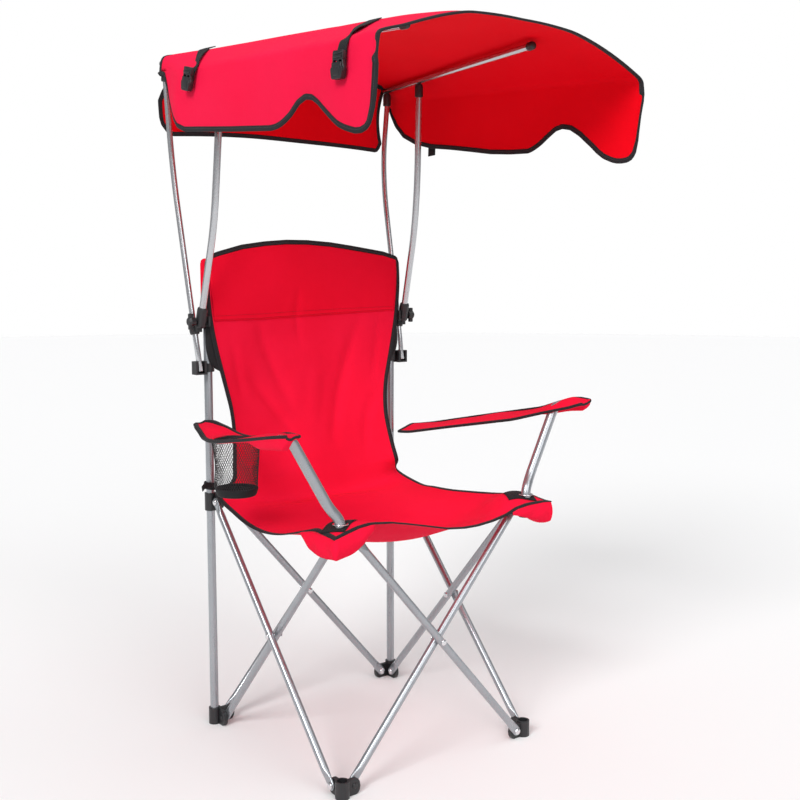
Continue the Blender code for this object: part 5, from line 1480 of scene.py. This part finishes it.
STRAPS = {
    "front": dict(roof=[(-0.186, -0.281), (-0.232, -0.307), (-0.264, -0.330)], over=-0.3370, down=[(-0.3375, 1.2060), (-0.3365, 1.1830), (-0.3355, 1.1660)], buckle=(-0.3368, 1.1830)),
    "rear": dict(roof=[(-0.215, 0.178), (-0.243, 0.150), (-0.266, 0.126)], over=0.1120, down=[(0.1130, 1.2330), (0.1165, 1.2190), (0.1195, 1.2060)], buckle=(0.1165, 1.2205)),
}
for side, s in SIDES.items():
    for what, d in STRAPS.items():
        pts_, nr_ = [], []
        proud = 0.0018 if s > 0 else 0.0
        for x, y in d["roof"]:
            pts_.append((s * -x, y, cloth_z(s * -x, y) + 0.0031 + proud))
            nr_.append((s * 0.25, 0, 1.0))
        ez = cloth_z(s * CANOPY_X, d["over"])
        y0 = d["over"]
        for k in range(1, 5):
            t = math.pi / 2 * k / 4
            pts_.append((s * (CANOPY_X - 0.0115 * (1 - math.sin(t)) + 0.0045 + proud), y0 - (y0 - d["down"][0][0]) * 0.1 * k / 4, ez - 0.0085 + 0.0115 * math.cos(t) + proud))
            nr_.append((s * math.sin(t), 0, max(0.02, math.cos(t))))
        for y, z in d["down"]:
            pts_.append((s * (CANOPY_X + 0.0078), y, z))
            nr_.append((s, 0, 0.02))
        if s > 0 and what == "rear":
            pts_ += [(s * (CANOPY_X + 0.0070), 0.1450, 1.1750), (s * (CANOPY_X + 0.0075), 0.1500, 1.1450), (s * (CANOPY_X + 0.0060), 0.1490, 1.1270)]
            nr_ += [(s, 0, 0.02)] * 3
        pts_ = spline(pts_, 60)
        raw = np.linspace(0, 1, len(nr_))
        nr_ = np.stack([np.interp(np.linspace(0, 1, 60), raw, np.array(nr_, float)[:, c]) for c in range(3)], -1)
        # the normals follow the real bend of the line
        tan_ = unit(np.gradient(pts_, axis=0))
        nr_ = unit(nr_ - tan_ * (nr_ * tan_).sum(-1, keepdims=True))
        ob = web_strap(f"strap_{what}_{side}_web", pts_, nr_, 0.0215, "canopy_truss_left", replaces=[f"canopy_strap_{what}_{side}"])
        by, bz = d["buckle"]
        dn = np.array((0.0, d["down"][0][0] - d["down"][-1][0], d["down"][0][1] - d["down"][-1][1]))
        b_ = buckle(f"buckle_{what}_{side}_visual", (s * (CANOPY_X + 0.0084), by, bz), dn, (s, 0, 0), "canopy_truss_left", [f"strap_buckle_{what}_{side}"])
        box = (0.0, dn[1], dn[2])
        soft_more["canopy"] += [ob, b_]

# ---------------------------------------------------------------- what is cloth: the flat size and area of each piece
def cut_size(p):
    """Width and length of a grid laid flat, and its area."""
    p = np.asarray(p, float)
    w = np.linalg.norm(np.diff(p, axis=1), axis=2).sum(1).max()
    l = np.linalg.norm(np.diff(p, axis=0), axis=2).sum(0).max()
    a, b = p[1:, :-1] - p[:-1, :-1], p[:-1, 1:] - p[:-1, :-1]
    c, d = p[1:, :-1] - p[1:, 1:], p[:-1, 1:] - p[1:, 1:]
    area = 0.5 * (np.linalg.norm(np.cross(a, b), axis=2).sum() + np.linalg.norm(np.cross(c, d), axis=2).sum())
    return (round(float(w), 4), round(float(l), 4)), round(float(min(area, w * l)), 5)


def declare(ob, p):
    flat, area = cut_size(p)
    CUTS[ob.name] = (flat, area)


CUTS = {}
by_name = bpy.data.objects
for what, (r0, r1, body) in LENGTHS.items():
    declare(sling_objs[what], sling[r0 : r1 + 1])
declare(band_obj, band)
declare(canopy_obj, canopy)
declare(flap_obj, flap)
for side in SIDES:
    declare(pockets[side][0], pockets[side][1])
    extras = [by_name[f"armrest_{side}_binding"]]
    if side == "left":
        extras += [by_name[n] for n in ("cup_rim_binding", "cup_net", "cup_base_cloth", "cup_base_binding")]
    declare(armrests[side], arm_grids[side])

# ---------------------------------------------------------------- cloth, canopy and armrest pieces each get a mesh of their own
def gathers(name):
    return name.startswith(("sling_", "head_band_", "pocket_", "patch_", "gusset_"))


for ob in list(scene.objects):
    n = ob.name
    if ob.type != "MESH" or "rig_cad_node" in ob:
        continue
    if gathers(n):
        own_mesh(ob)
    elif n.startswith(("canopy_cloth", "canopy_binding", "rear_flap_")) or (n.startswith(("strap_", "buckle_")) and "right" in n):
        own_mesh(ob)
    elif n.startswith(("armrest_", "cup_")):
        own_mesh(ob)

# ---------------------------------------------------------------- floor
bpy.ops.mesh.primitive_circle_add(vertices=96, radius=14, fill_type="NGON", location=(0, 0, -0.0002))
floor = bpy.context.object
floor.name = "floor"
fm, fn, fl, fb = new_material("pale_floor", (0.90, 0.90, 0.90), 0.9)
fb.inputs["Specular IOR Level"].default_value = 0.1
floor.data.materials.append(fm)

# ---------------------------------------------------------------- sizes
print("CUTS", CUTS)
